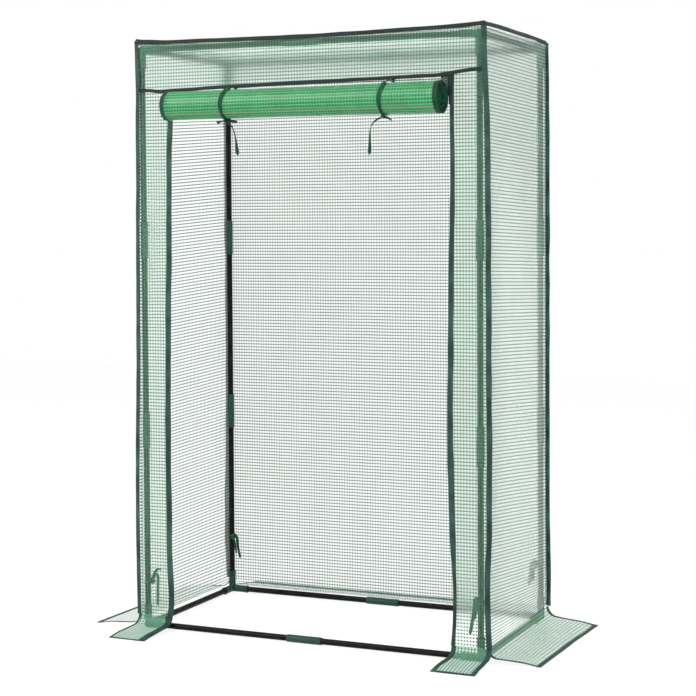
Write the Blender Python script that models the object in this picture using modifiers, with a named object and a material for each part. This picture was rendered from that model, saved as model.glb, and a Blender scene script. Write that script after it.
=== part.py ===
"""A portable greenhouse: a plug-together tube frame under a fitted cover of grid film.

Metres, +Z up. The origin is on the ground, under the middle of the cover, and the doorway faces -Y.
"""

import math

import bmesh
import bpy
from mathutils import Matrix, Vector

# Frame, measured between tube axes
FRAME_WIDTH = 0.968
FRAME_DEPTH = 0.494
FRAME_HEIGHT = 1.5695
BASE_AXIS_HEIGHT = 0.0105

# Middles of the couplers, measured up a post from its foot, and along X in the long bars
POST_JOINTS = (0.5355, 1.0545)
BAR_JOINTS = {"front": -0.0130, "back": 0.0035}

# Tubes and the plastic fittings that they plug into
TUBE_RADIUS = 0.008
TUBE_WALL = 0.0008
FITTING_WALL = 0.0017
PLUG_CLEARANCE = 0.0003
SOCKET_REACH = 0.052
SOCKET_STOP = 0.013
KNUCKLE_RADIUS = 0.011
MOUTH_RIM_RADIUS = 0.011
MOUTH_RIM_LENGTH = 0.004
COUPLER_LENGTH = 0.100
COUPLER_CHAMFER = 0.001
COUPLER_STOP_LENGTH = 0.003
COUPLER_STOP_DEPTH = 0.0017
ROUND_SIDES = 16

# Meshing
WELD_DISTANCE = 1e-6
SHARP_ANGLE = math.radians(35)
CURVE_SAMPLES = 16

# Cover
COVER_CLEARANCE = 0.0003
COVER_SLACK = 0.007
FILM_THICKNESS = 0.0012
BINDING_WIDTH = 0.013
BINDING_PROUD = 0.0008
ROOF_SAG = 0.004
HEADER_HEIGHT = 0.120
HEADER_SAG = 0.002
HEADER_STEPS = 8
DOORWAY_WIDTH = 0.795
DOORWAY_OFFSET = 0.0075
SEAM_GAP = 0.0003
FOLD_GAP = 0.0006

# Ground flaps
FLAP_LENGTH = 0.150
FLAP_BEND_RADIUS = 0.028
FLAP_SLOPE = math.radians(5.5)
FLAP_BEND_STEPS = 6
FLAP_TAPER = 0.012
FLAP_END_GAP = 0.006
DOORWAY_FLAP_SHIFT = 0.012

# Rolled door
ROLL_RADIUS = 0.040
ROLL_TURNS = 9
ROLL_STEPS_PER_TURN = 18
ROLL_HANG = 0.008
DOOR_TRAVEL = 1.375
DOOR_SIDE_CLEARANCE = 0.0055

# Tie tapes round the rolled door
TIE_PLACES = {"left": -0.2075, "right": 0.2420}
TIE_WIDTH = 0.011
TIE_THICKNESS = 0.0009
TIE_CLEARANCE = 0.0005
TIE_ARC_STEPS = 24
KNOT_SIZE = (0.0075, 0.0055, 0.0035)
KNOT_SIDES = 10
KNOT_RINGS = 6
TIE_END_RADIUS = 0.0022
TIE_END_SIDES = 8
TAIL_RADIUS = 0.0024
TAIL_POINT_SPACING = 0.012

# Directions of the two short ends of each bow, seen from the knot, and the route of its long tail
TIE_ENDS = {
    "left": [(-0.024, -0.002, -0.004), (0.030, 0.008, -0.003)],
    "right": [(0.024, -0.006, -0.008)],
}
TAIL_ROUTES = {
    "left": [
        (0.0056, -0.0023, -0.0033),
        (0.0145, -0.0041, -0.0086),
        (0.0232, -0.0046, -0.0185),
        (0.0290, -0.0050, -0.0330),
        (0.0325, -0.0050, -0.0500),
        (0.0350, -0.0045, -0.0680),
        (0.0380, -0.0040, -0.0920),
    ],
    "right": [
        (-0.0065, -0.0008, -0.0025),
        (-0.0155, -0.0029, -0.0067),
        (-0.0250, -0.0045, -0.0140),
        (-0.0310, -0.0050, -0.0240),
        (-0.0340, -0.0055, -0.0380),
        (-0.0345, -0.0055, -0.0560),
        (-0.0350, -0.0050, -0.0760),
        (-0.0370, -0.0045, -0.0960),
    ],
}

# Places worked out from the sizes above
FITTING_BORE = TUBE_RADIUS + PLUG_CLEARANCE
FITTING_RADIUS = FITTING_BORE + FITTING_WALL
POST_X = FRAME_WIDTH / 2
POST_Y = FRAME_DEPTH / 2
FRAME_OFFSET = -COVER_SLACK / 2
TOP_AXIS_HEIGHT = BASE_AXIS_HEIGHT + FRAME_HEIGHT
COVER_INSIDE = max(KNUCKLE_RADIUS, MOUTH_RIM_RADIUS) + COVER_CLEARANCE
BOUND_THICKNESS = FILM_THICKNESS + BINDING_PROUD
INSIDE_X = POST_X + COVER_INSIDE + COVER_SLACK / 2
INSIDE_Y = POST_Y + COVER_INSIDE
OUTSIDE_X = INSIDE_X + FILM_THICKNESS
OUTSIDE_Y = INSIDE_Y + FILM_THICKNESS
ROOF_UNDERSIDE = TOP_AXIS_HEIGHT + COVER_INSIDE
WALL_TOP = ROOF_UNDERSIDE - SEAM_GAP
HEADER_EDGE = ROOF_UNDERSIDE + FILM_THICKNESS - HEADER_HEIGHT
FLAP_BEND_LENGTH = FLAP_BEND_RADIUS * (math.pi / 2 - FLAP_SLOPE)
FLAP_FLAT_LENGTH = FLAP_LENGTH - FLAP_BEND_LENGTH
FOLD_HEIGHT = FLAP_BEND_RADIUS * math.cos(FLAP_SLOPE) + FLAP_FLAT_LENGTH * math.sin(FLAP_SLOPE)
ROLL_Y = -INSIDE_Y - ROLL_RADIUS
ROLL_Z = HEADER_EDGE - HEADER_SAG - ROLL_HANG - ROLL_RADIUS
ROLL_CORE_RADIUS = DOOR_TRAVEL / (math.pi * ROLL_TURNS) - ROLL_RADIUS
ROLL_PITCH = (ROLL_RADIUS - ROLL_CORE_RADIUS) / ROLL_TURNS
DOORWAY_LEFT = DOORWAY_OFFSET - DOORWAY_WIDTH / 2
DOORWAY_RIGHT = DOORWAY_OFFSET + DOORWAY_WIDTH / 2
DOOR_LEFT = DOORWAY_LEFT + DOOR_SIDE_CLEARANCE
DOOR_RIGHT = DOORWAY_RIGHT - DOOR_SIDE_CLEARANCE

# Colours and finishes: red, green, blue, roughness, metallic
FINISHES = {
    "black_tube": (0.012, 0.012, 0.014, 0.35, 0.6),
    "green_plastic": (0.018, 0.060, 0.045, 0.45, 0.0),
    "grid_film": (0.55, 0.74, 0.60, 0.40, 0.0),
    "rolled_film": (0.10, 0.38, 0.17, 0.35, 0.0),
    "tie_tape": (0.010, 0.070, 0.045, 0.70, 0.0),
}

MODEL = "portable_greenhouse"


def clear_scene():
    for thing in list(bpy.data.objects):
        bpy.data.objects.remove(thing, do_unlink=True)


def make_collection(name):
    collection = bpy.data.collections.new(name)
    bpy.context.scene.collection.children.link(collection)
    return collection


def make_material(name):
    red, green, blue, roughness, metallic = FINISHES[name]
    material = bpy.data.materials.new(name)
    material.use_nodes = True
    shader = material.node_tree.nodes["Principled BSDF"]
    shader.inputs["Base Color"].default_value = (red, green, blue, 1.0)
    shader.inputs["Roughness"].default_value = roughness
    shader.inputs["Metallic"].default_value = metallic
    material.diffuse_color = (red, green, blue, 1.0)
    return material


def add_object(name, data, collection, material=None, matrix=None):
    thing = bpy.data.objects.new(name, data)
    collection.objects.link(thing)
    if material:
        data.materials.clear()
        data.materials.append(material)
    if matrix:
        thing.matrix_world = matrix
    return thing


def smooth(mesh):
    mesh.shade_smooth()
    mesh.set_sharp_from_angle(angle=SHARP_ANGLE)


def mesh_of(thing):
    """The evaluated mesh of an object, with its loose caps welded, after which the object is removed."""
    bpy.context.view_layer.update()
    graph = bpy.context.evaluated_depsgraph_get()
    mesh = bpy.data.meshes.new_from_object(thing.evaluated_get(graph))
    bm = bmesh.new()
    bm.from_mesh(mesh)
    bmesh.ops.remove_doubles(bm, verts=bm.verts, dist=WELD_DISTANCE)
    bm.to_mesh(mesh)
    bm.free()
    bpy.data.objects.remove(thing, do_unlink=True)
    return mesh


def turned(name, profile, collection, closed=True):
    """A profile of (radius, height) points turned round Z. A closed profile makes a ring."""
    mesh = bpy.data.meshes.new(name)
    bm = bmesh.new()
    points = [bm.verts.new((radius, 0.0, height)) for radius, height in profile]
    ends = points[1:] + points[:1] if closed else points[1:]
    for a, b in zip(points, ends):
        bm.edges.new((a, b))
    bm.to_mesh(mesh)
    bm.free()
    thing = add_object(name, mesh, collection)
    screw = thing.modifiers.new("Turn", "SCREW")
    screw.steps = screw.render_steps = ROUND_SIDES
    screw.use_merge_vertices = True
    screw.merge_threshold = WELD_DISTANCE
    turned_mesh = mesh_of(thing)
    bpy.data.meshes.remove(mesh)
    turned_mesh.name = name
    smooth(turned_mesh)
    return turned_mesh


def along(direction, place):
    """The matrix that stands a piece's Z axis along a direction, at a place."""
    return Matrix.Translation(place) @ Vector(direction).to_track_quat("Z", "Y").to_matrix().to_4x4()


def tube_mesh(length, collection):
    half = length / 2
    bore = TUBE_RADIUS - TUBE_WALL
    return turned(
        "tube", [(TUBE_RADIUS, half), (TUBE_RADIUS, -half), (bore, -half), (bore, half)], collection
    )


def coupler_mesh(collection):
    """A straight sleeve with chamfered mouths and a ring inside that both tubes stop against."""
    half = COUPLER_LENGTH / 2
    stop = COUPLER_STOP_LENGTH / 2
    stop_radius = FITTING_BORE - COUPLER_STOP_DEPTH
    outside = [
        (FITTING_RADIUS - COUPLER_CHAMFER, half),
        (FITTING_RADIUS, half - COUPLER_CHAMFER),
        (FITTING_RADIUS, COUPLER_CHAMFER - half),
        (FITTING_RADIUS - COUPLER_CHAMFER, -half),
    ]
    inside = [
        (FITTING_BORE, -half),
        (FITTING_BORE, -stop),
        (stop_radius, -stop),
        (stop_radius, stop),
        (FITTING_BORE, stop),
        (FITTING_BORE, half),
    ]
    return turned("coupler", outside + inside, collection)


def socket_arm_mesh(collection):
    """One arm of a corner fitting, from the middle of its knuckle out to the rim round its mouth."""
    neck = SOCKET_REACH - MOUTH_RIM_LENGTH
    profile = [
        (0.0, SOCKET_REACH),
        (MOUTH_RIM_RADIUS, SOCKET_REACH),
        (MOUTH_RIM_RADIUS, neck),
        (FITTING_RADIUS, neck),
        (FITTING_RADIUS, 0.0),
        (0.0, 0.0),
    ]
    return turned("socket_arm", profile, collection, closed=False)


def socket_bore_mesh(collection):
    past_mouth = SOCKET_REACH + MOUTH_RIM_LENGTH
    profile = [
        (0.0, past_mouth),
        (FITTING_BORE, past_mouth),
        (FITTING_BORE, SOCKET_STOP),
        (0.0, SOCKET_STOP),
    ]
    return turned("socket_bore", profile, collection, closed=False)


def knuckle_mesh():
    mesh = bpy.data.meshes.new("knuckle")
    bm = bmesh.new()
    bmesh.ops.create_uvsphere(bm, u_segments=ROUND_SIDES, v_segments=ROUND_SIDES // 2, radius=KNUCKLE_RADIUS)
    bm.to_mesh(mesh)
    bm.free()
    return mesh


def add_boolean(thing, other, operation):
    boolean = thing.modifiers.new(other.name, "BOOLEAN")
    boolean.operation = operation
    boolean.object = other


def corner_mesh(name, collection, flat_sole):
    """A three-way corner: a round knuckle with sockets along +X, +Y and +Z, cut flat under it on request."""
    fitting = add_object(name, knuckle_mesh(), collection)
    helpers = []
    for operation, mesh in (
        ("UNION", socket_arm_mesh(collection)),
        ("DIFFERENCE", socket_bore_mesh(collection)),
    ):
        for direction in ((1, 0, 0), (0, 1, 0), (0, 0, 1)):
            helper = add_object(mesh.name, mesh, collection, matrix=along(direction, (0, 0, 0)))
            add_boolean(fitting, helper, operation)
            helpers.append(helper)
    if flat_sole:
        size = 3 * SOCKET_REACH
        slab = bpy.data.meshes.new("sole_cut")
        bm = bmesh.new()
        bmesh.ops.create_cube(bm, size=size)
        bm.to_mesh(slab)
        bm.free()
        below = Matrix.Translation((0, 0, -BASE_AXIS_HEIGHT - size / 2))
        helper = add_object("sole_cut", slab, collection, matrix=below)
        add_boolean(fitting, helper, "DIFFERENCE")
        helpers.append(helper)
    mesh = mesh_of(fitting)
    mesh.name = name
    smooth(mesh)
    for helper in helpers:
        bpy.data.objects.remove(helper, do_unlink=True)
    return mesh


def post_place(side_x, side_y, height):
    """A point on a post's axis. The frame stands against the left wall, so all the slack is on the right."""
    return Vector((FRAME_OFFSET + side_x * POST_X, side_y * POST_Y, height))


def corner_matrix(side_x, side_y, side_z):
    """Turns a corner fitting so that its sockets point inwards from the corner on these sides."""
    x, y, z = -side_x, -side_y, -side_z
    if x * y * z > 0:
        turn = Matrix(((x, 0, 0), (0, y, 0), (0, 0, z)))
    else:
        turn = Matrix(((0, x, 0), (y, 0, 0), (0, 0, z)))
    height = TOP_AXIS_HEIGHT if side_z > 0 else BASE_AXIS_HEIGHT
    return Matrix.Translation(post_place(side_x, side_y, height)) @ turn.to_4x4()


def run_of_tubes(start, end, joints):
    """The (centre, length) of each tube and each coupler's centre, for a run joined at these distances."""
    direction = (end - start).normalized()
    couplers = [start + direction * joint for joint in joints]
    meetings = [0.0, *joints, (end - start).length]
    corner_stop = SOCKET_STOP + PLUG_CLEARANCE
    coupler_stop = COUPLER_STOP_LENGTH / 2 + PLUG_CLEARANCE
    tubes = []
    for n, (low, high) in enumerate(zip(meetings, meetings[1:])):
        first = low + (corner_stop if n == 0 else coupler_stop)
        last = high - (corner_stop if n == len(joints) else coupler_stop)
        tubes.append((start + direction * (first + last) / 2, last - first))
    return direction, tubes, couplers


def add_run(names, coupler_names, start, end, joints, parts, materials, coupler):
    direction, tubes, couplers = run_of_tubes(start, end, joints)
    for name, (centre, length) in zip(names, tubes):
        add_object(name, tube_mesh(length, parts), parts, materials["black_tube"], along(direction, centre))
    for name, centre in zip(coupler_names, couplers):
        add_object(name, coupler.copy(), parts, materials["green_plastic"], along(direction, centre))


def add_frame(parts, materials):
    coupler = coupler_mesh(parts)
    base_corner = corner_mesh("base_corner", parts, flat_sole=True)
    top_corner = corner_mesh("top_corner", parts, flat_sole=False)
    fittings = {"base": (-1, base_corner), "top": (1, top_corner)}
    heights = {"base": BASE_AXIS_HEIGHT, "top": TOP_AXIS_HEIGHT}
    ends = {"front": -1, "back": 1}
    sides = {"left": -1, "right": 1}
    for end, side_y in ends.items():
        for side, side_x in sides.items():
            post = f"post_{end}_{side}"
            foot = post_place(side_x, side_y, BASE_AXIS_HEIGHT)
            head = post_place(side_x, side_y, TOP_AXIS_HEIGHT)
            sections = [f"{post}_section_{n + 1}" for n in range(len(POST_JOINTS) + 1)]
            couplers = [f"{post}_coupler_{n + 1}" for n in range(len(POST_JOINTS))]
            add_run(sections, couplers, foot, head, POST_JOINTS, parts, materials, coupler)
            for level, (side_z, fitting) in fittings.items():
                add_object(
                    f"corner_{level}_{end}_{side}",
                    fitting.copy(),
                    parts,
                    materials["green_plastic"],
                    corner_matrix(side_x, side_y, side_z),
                )
    for level, height in heights.items():
        for end, side_y in ends.items():
            bars = [f"bar_{level}_{end}_left", f"bar_{level}_{end}_right"]
            start, stop = post_place(-1, side_y, height), post_place(1, side_y, height)
            joints = [BAR_JOINTS[end] - start.x]
            add_run(bars, [f"bar_{level}_{end}_coupler"], start, stop, joints, parts, materials, coupler)
        for side, side_x in sides.items():
            start, stop = post_place(side_x, -1, height), post_place(side_x, 1, height)
            add_run([f"bar_{level}_{side}"], [], start, stop, [], parts, materials, coupler)
    for mesh in (coupler, base_corner, top_corner):
        bpy.data.meshes.remove(mesh)


def bound_lines(low, high, between=()):
    """Grid lines across a cloth from low to high, with a narrow step where each edge's binding ends."""
    step = BINDING_WIDTH + BINDING_PROUD
    return [low, low + BINDING_WIDTH, low + step, *between, high - step, high - BINDING_WIDTH, high]


def evenly(low, high, count):
    """The inner points that cut a stretch into this many equal parts."""
    return [low + (high - low) * n / count for n in range(1, count)]


def sheet(name, columns, rows, place, is_bound, parts, material, is_cloth=None, origin=(0, 0, 0)):
    """A cloth made on a grid: place(column, row) gives its inner face, and it is thicker where is_bound says."""
    mesh = bpy.data.meshes.new(name)
    bm = bmesh.new()
    bmesh.ops.create_grid(bm, x_segments=len(columns) - 1, y_segments=len(rows) - 1, size=1.0)
    lines = {}
    for vertex in bm.verts:
        column = columns[round((vertex.co.x + 1) / 2 * (len(columns) - 1))]
        row = rows[round((vertex.co.y + 1) / 2 * (len(rows) - 1))]
        lines[vertex] = (column, row)
        vertex.co = Vector(place(column, row)) - Vector(origin)
    if is_cloth:
        gaps = []
        for face in bm.faces:
            middle = [sum(lines[vertex][n] for vertex in face.verts) / len(face.verts) for n in (0, 1)]
            if not is_cloth(*middle):
                gaps.append(face)
        bmesh.ops.delete(bm, geom=gaps, context="FACES")
    bm.verts.index_update()
    thick = [vertex.index for vertex in bm.verts if is_bound(*lines[vertex])]
    bm.to_mesh(mesh)
    bm.free()
    cloth = add_object(name, mesh, parts, material, Matrix.Translation(origin))
    solid = cloth.modifiers.new("Thickness", "SOLIDIFY")
    solid.thickness = FILM_THICKNESS
    solid.offset = 1.0
    if thick:
        binding = cloth.vertex_groups.new(name="binding")
        binding.add(thick, 1.0, "REPLACE")
        solid.vertex_group = binding.name
        solid.thickness = BOUND_THICKNESS
        solid.thickness_vertex_group = FILM_THICKNESS / BOUND_THICKNESS
    smooth(mesh)
    return cloth


def near(distance):
    """Whether a point this far from a bound edge is on its binding."""
    return distance < BINDING_WIDTH + BINDING_PROUD / 2


def header_low(x):
    """Height of the header's lower edge, which hangs lower towards the middle of the doorway."""
    share = min(abs(x - DOORWAY_OFFSET) / (DOORWAY_WIDTH / 2), 1.0)
    return HEADER_EDGE - HEADER_SAG * (1 - share**2)


def add_roof(parts, materials):
    def place(x, y):
        sag = ROOF_SAG * (1 - (x / OUTSIDE_X) ** 2) * (1 - (y / OUTSIDE_Y) ** 2)
        return (x, y, ROOF_UNDERSIDE - sag)

    def is_bound(x, y):
        return near(OUTSIDE_X - abs(x)) or near(OUTSIDE_Y - abs(y))

    columns = bound_lines(-OUTSIDE_X, OUTSIDE_X, evenly(-OUTSIDE_X, OUTSIDE_X, 8))
    rows = bound_lines(-OUTSIDE_Y, OUTSIDE_Y, evenly(-OUTSIDE_Y, OUTSIDE_Y, 4))
    sheet("roof_panel", columns, rows, place, is_bound, parts, materials["grid_film"])


def add_side_and_back_panels(parts, materials):
    half_depth = INSIDE_Y - SEAM_GAP
    rows = bound_lines(FOLD_HEIGHT, WALL_TOP)
    for name, side in (("left", -1), ("right", 1)):
        sheet(
            f"{name}_panel",
            bound_lines(-half_depth, half_depth),
            rows,
            lambda along_wall, height, side=side: (side * INSIDE_X, side * along_wall, height),
            lambda along_wall, height: near(half_depth - abs(along_wall)) or near(WALL_TOP - height),
            parts,
            materials["grid_film"],
        )
    sheet(
        "back_panel",
        bound_lines(-OUTSIDE_X, OUTSIDE_X),
        rows,
        lambda along_wall, height: (-along_wall, INSIDE_Y, height),
        lambda along_wall, height: near(OUTSIDE_X - abs(along_wall)) or near(WALL_TOP - height),
        parts,
        materials["grid_film"],
    )


def add_front_panel(parts, materials):
    """The front: a header over the doorway and a strip down each side of it, in one piece."""

    def past_doorway(x):
        return max(DOORWAY_LEFT - x, x - DOORWAY_RIGHT)

    def place(x, height):
        on_header_edge = 0 <= height - HEADER_EDGE < BINDING_WIDTH + 2 * BINDING_PROUD
        sag = HEADER_EDGE - header_low(x) if on_header_edge else 0.0
        return (x, -INSIDE_Y, height - sag)

    def is_bound(x, height):
        at_door = height < HEADER_EDGE and near(past_doorway(x))
        at_header = height >= HEADER_EDGE and near(height - HEADER_EDGE)
        return near(OUTSIDE_X - abs(x)) or near(WALL_TOP - height) or at_door or at_header

    left = bound_lines(-OUTSIDE_X, DOORWAY_LEFT)
    right = bound_lines(DOORWAY_RIGHT, OUTSIDE_X)
    columns = left + evenly(DOORWAY_LEFT, DOORWAY_RIGHT, HEADER_STEPS) + right
    rows = [FOLD_HEIGHT, HEADER_EDGE - BINDING_PROUD] + bound_lines(HEADER_EDGE, WALL_TOP)
    sheet(
        "front_panel",
        columns,
        rows,
        place,
        is_bound,
        parts,
        materials["grid_film"],
        is_cloth=lambda x, height: past_doorway(x) > 0 or height > HEADER_EDGE,
    )


def flap_section(distance):
    """(out, height) of a flap's underside at a distance down the cloth from the fold."""
    angle = min(distance, FLAP_BEND_LENGTH) / FLAP_BEND_RADIUS
    flat = max(distance - FLAP_BEND_LENGTH, 0.0)
    out = FLAP_BEND_RADIUS * (1 - math.cos(angle)) + flat * math.cos(FLAP_SLOPE)
    height = FOLD_HEIGHT - FLAP_BEND_RADIUS * math.sin(angle) - flat * math.sin(FLAP_SLOPE)
    return out, height


def add_flap(name, facing, first, last, shift, parts, material):
    """One ground flap, hinged on the outer face of the wall's lower edge.

    facing is the wall's way out, first and last are its ends along the wall as seen from outside,
    left to right, and shift moves each end along the wall by the time it reaches the hem.
    """
    out = Vector(facing)
    along_wall = Vector((0, 0, 1)).cross(out)
    wall = abs(out.x) * INSIDE_X + abs(out.y) * INSIDE_Y
    origin = out * (wall + BOUND_THICKNESS) + Vector((0, 0, FOLD_HEIGHT))
    step = BINDING_WIDTH + BINDING_PROUD
    rows = [FOLD_GAP, *evenly(0.0, FLAP_BEND_LENGTH, FLAP_BEND_STEPS), FLAP_BEND_LENGTH]
    rows += [FLAP_LENGTH - step, FLAP_LENGTH - BINDING_WIDTH, FLAP_LENGTH]

    def place(position, distance):
        share = (position - first) / (last - first)
        moved = (shift[0] * (1 - share) + shift[1] * share) * distance / FLAP_LENGTH
        outward, height = flap_section(distance)
        return out * (wall + outward) + along_wall * (position + moved) + Vector((0, 0, height))

    sheet(
        name,
        bound_lines(first, last),
        rows[::-1],
        place,
        lambda position, distance: near(FLAP_LENGTH - distance) or near(min(position - first, last - position)),
        parts,
        material,
        origin=origin,
    )


def add_flaps(parts, materials):
    film = materials["grid_film"]
    side = OUTSIDE_Y - FLAP_END_GAP
    back = OUTSIDE_X - FLAP_END_GAP
    taper = (FLAP_TAPER, -FLAP_TAPER)
    add_flap("flap_right", (1, 0, 0), -side, side, taper, parts, film)
    add_flap("flap_left", (-1, 0, 0), -side, side, taper, parts, film)
    add_flap("flap_back", (0, 1, 0), -back, back, taper, parts, film)
    outward = (-DOORWAY_FLAP_SHIFT, -DOORWAY_FLAP_SHIFT)
    add_flap("flap_front_left", (0, -1, 0), -OUTSIDE_X, DOORWAY_LEFT, outward, parts, film)
    add_flap("flap_front_right", (0, -1, 0), DOORWAY_RIGHT, OUTSIDE_X, (0.0, 0.0), parts, film)


def add_door(parts, materials):
    """The door cloth: what hangs from the header, and the spiral that the rest is rolled into."""
    curtain_foot = ROLL_Z + SEAM_GAP

    def place_curtain(x, share):
        top = header_low(x) - SEAM_GAP
        return (x, -INSIDE_Y, curtain_foot + (top - curtain_foot) * share)

    sheet(
        "door_curtain",
        bound_lines(DOOR_LEFT, DOOR_RIGHT, evenly(DOOR_LEFT, DOOR_RIGHT, HEADER_STEPS)),
        [0.0, 1.0],
        place_curtain,
        lambda x, share: near(min(x - DOOR_LEFT, DOOR_RIGHT - x)),
        parts,
        materials["grid_film"],
        origin=(0, -INSIDE_Y, ROLL_Z),
    )

    def place_roll(x, turn):
        radius = ROLL_RADIUS - ROLL_PITCH * turn - FILM_THICKNESS
        angle = -2 * math.pi * turn
        return (x, ROLL_Y + radius * math.cos(angle), ROLL_Z + radius * math.sin(angle))

    steps = ROLL_TURNS * ROLL_STEPS_PER_TURN
    sheet(
        "door_roll",
        [DOOR_LEFT, DOOR_RIGHT],
        [n / ROLL_STEPS_PER_TURN for n in range(steps + 1)],
        place_roll,
        lambda x, turn: False,
        parts,
        materials["rolled_film"],
        origin=(0, ROLL_Y, ROLL_Z),
    )
    print(f"door roll: least gap between turns {(ROLL_PITCH - FILM_THICKNESS) * 1000:.2f} mm")


def tie_face(x, offset):
    """One face of a tie tape as (y, z) points: down behind the roll, round under it and up to the header."""
    top = header_low(x) - SEAM_GAP
    radius = ROLL_RADIUS + offset
    front = Vector((-OUTSIDE_Y - offset - ROLL_Y, top - ROLL_Z))
    tangent = math.atan2(front.y, front.x) + math.acos(radius / front.length)
    sweep = 2 * math.pi - tangent
    points = [(ROLL_Y + radius, top)]
    for n in range(TIE_ARC_STEPS + 1):
        angle = -sweep * n / TIE_ARC_STEPS
        points.append((ROLL_Y + radius * math.cos(angle), ROLL_Z + radius * math.sin(angle)))
    points.append((ROLL_Y + front.x, top))
    return points


def knot_place(x):
    """The middle of a bow's knot, which is half sunk into the tape under the roll."""
    return Vector((x, ROLL_Y, ROLL_Z - ROLL_RADIUS - TIE_THICKNESS - KNOT_SIZE[2]))


def knot_mesh():
    mesh = bpy.data.meshes.new("knot")
    bm = bmesh.new()
    bmesh.ops.create_uvsphere(bm, u_segments=KNOT_SIDES, v_segments=KNOT_RINGS, radius=1.0)
    bmesh.ops.scale(bm, vec=KNOT_SIZE, verts=bm.verts)
    bm.to_mesh(mesh)
    bm.free()
    return mesh


def tie_end_mesh(reach):
    mesh = bpy.data.meshes.new("tie_end")
    bm = bmesh.new()
    bmesh.ops.create_cone(
        bm,
        cap_ends=True,
        segments=TIE_END_SIDES,
        radius1=TIE_END_RADIUS,
        radius2=TIE_END_RADIUS,
        depth=reach,
    )
    bm.to_mesh(mesh)
    bm.free()
    return mesh


def add_tie(side, x, parts, construction, materials):
    """A tape from the header round the rolled door, with its knot and short ends below."""
    outline = bpy.data.curves.new(f"tie_{side}_outline", "CURVE")
    outline.dimensions = "2D"
    outline.fill_mode = "BOTH"
    outline.extrude = TIE_WIDTH / 2
    outside = tie_face(x, TIE_CLEARANCE + TIE_THICKNESS)
    points = outside + tie_face(x, TIE_CLEARANCE)[::-1]
    spline = outline.splines.new("POLY")
    spline.points.add(len(points) - 1)
    for point, (y, z) in zip(spline.points, points):
        point.co = (y, z, 0.0, 1.0)
    spline.use_cyclic_u = True
    upright = Matrix(((0, 0, 1), (1, 0, 0), (0, 1, 0))).to_4x4()
    band = add_object(outline.name, outline, construction, matrix=Matrix.Translation((x, 0, 0)) @ upright)
    matrix = band.matrix_world.copy()
    tie = add_object(f"roll_tie_{side}", mesh_of(band), parts, materials["tie_tape"], matrix)
    knot = knot_place(x)
    pieces = [("knot", knot_mesh(), Matrix.Translation(knot))]
    for end in TIE_ENDS[side]:
        reach = Vector(end)
        pieces.append(("end", tie_end_mesh(reach.length), along(reach, knot + reach / 2)))
    for name, mesh, place in pieces:
        helper = add_object(f"tie_{side}_{name}", mesh, construction, matrix=place)
        helper.hide_render = True
        helper.display_type = "WIRE"
        add_boolean(tie, helper, "UNION")


def smooth_route(points, spacing):
    """Points at even steps on a smooth curve through the chosen ones."""
    padded = [points[0] * 2 - points[1], *points, points[-1] * 2 - points[-2]]
    fine = [points[0]]
    for before, start, end, after in zip(padded, padded[1:], padded[2:], padded[3:]):
        for n in range(1, CURVE_SAMPLES + 1):
            t = n / CURVE_SAMPLES
            curve = (end - before) * t + (before * 2 - start * 5 + end * 4 - after) * t**2
            curve += (start * 3 - before - end * 3 + after) * t**3
            fine.append(start + curve / 2)
    lengths = [0.0]
    for a, b in zip(fine, fine[1:]):
        lengths.append(lengths[-1] + (b - a).length)
    count = max(2, round(lengths[-1] / spacing))
    route = []
    for n in range(count + 1):
        wanted = lengths[-1] * n / count
        m = next(i for i in range(1, len(fine)) if lengths[i] >= wanted - 1e-9)
        share = (wanted - lengths[m - 1]) / (lengths[m] - lengths[m - 1])
        route.append(fine[m - 1].lerp(fine[m], share))
    return route, lengths[-1]


def add_tail(side, x, parts, materials):
    """The long free end of a bow, rolled up by its twist into a thin cord."""
    knot = knot_place(x)
    route, length = smooth_route([knot + Vector(point) for point in TAIL_ROUTES[side]], TAIL_POINT_SPACING)
    curve = bpy.data.curves.new(f"tie_tail_{side}", "CURVE")
    curve.dimensions = "3D"
    curve.bevel_depth = TAIL_RADIUS
    curve.bevel_resolution = 2
    curve.use_fill_caps = True
    spline = curve.splines.new("POLY")
    spline.points.add(len(route) - 1)
    for point, place in zip(spline.points, route):
        point.co = (*place, 1.0)
    add_object(f"tie_tail_{side}", curve, parts, materials["tie_tape"])
    print(f"tie tail {side}: {length * 1000:.0f} mm long")


def main():
    clear_scene()
    parts = make_collection(MODEL)
    construction = make_collection("construction")
    materials = {name: make_material(name) for name in FINISHES}
    add_frame(parts, materials)
    add_roof(parts, materials)
    add_side_and_back_panels(parts, materials)
    add_front_panel(parts, materials)
    add_flaps(parts, materials)
    add_door(parts, materials)
    for side, x in TIE_PLACES.items():
        add_tie(side, x, parts, construction, materials)
        add_tail(side, x, parts, materials)


main()
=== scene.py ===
"""The looks of a portable greenhouse, laid out as an add-on: a tube frame under a cover of grid film.

Metres, +Z up. The origin is on the ground, under the middle of the frame, and the doorway faces -Y.
"""

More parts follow.
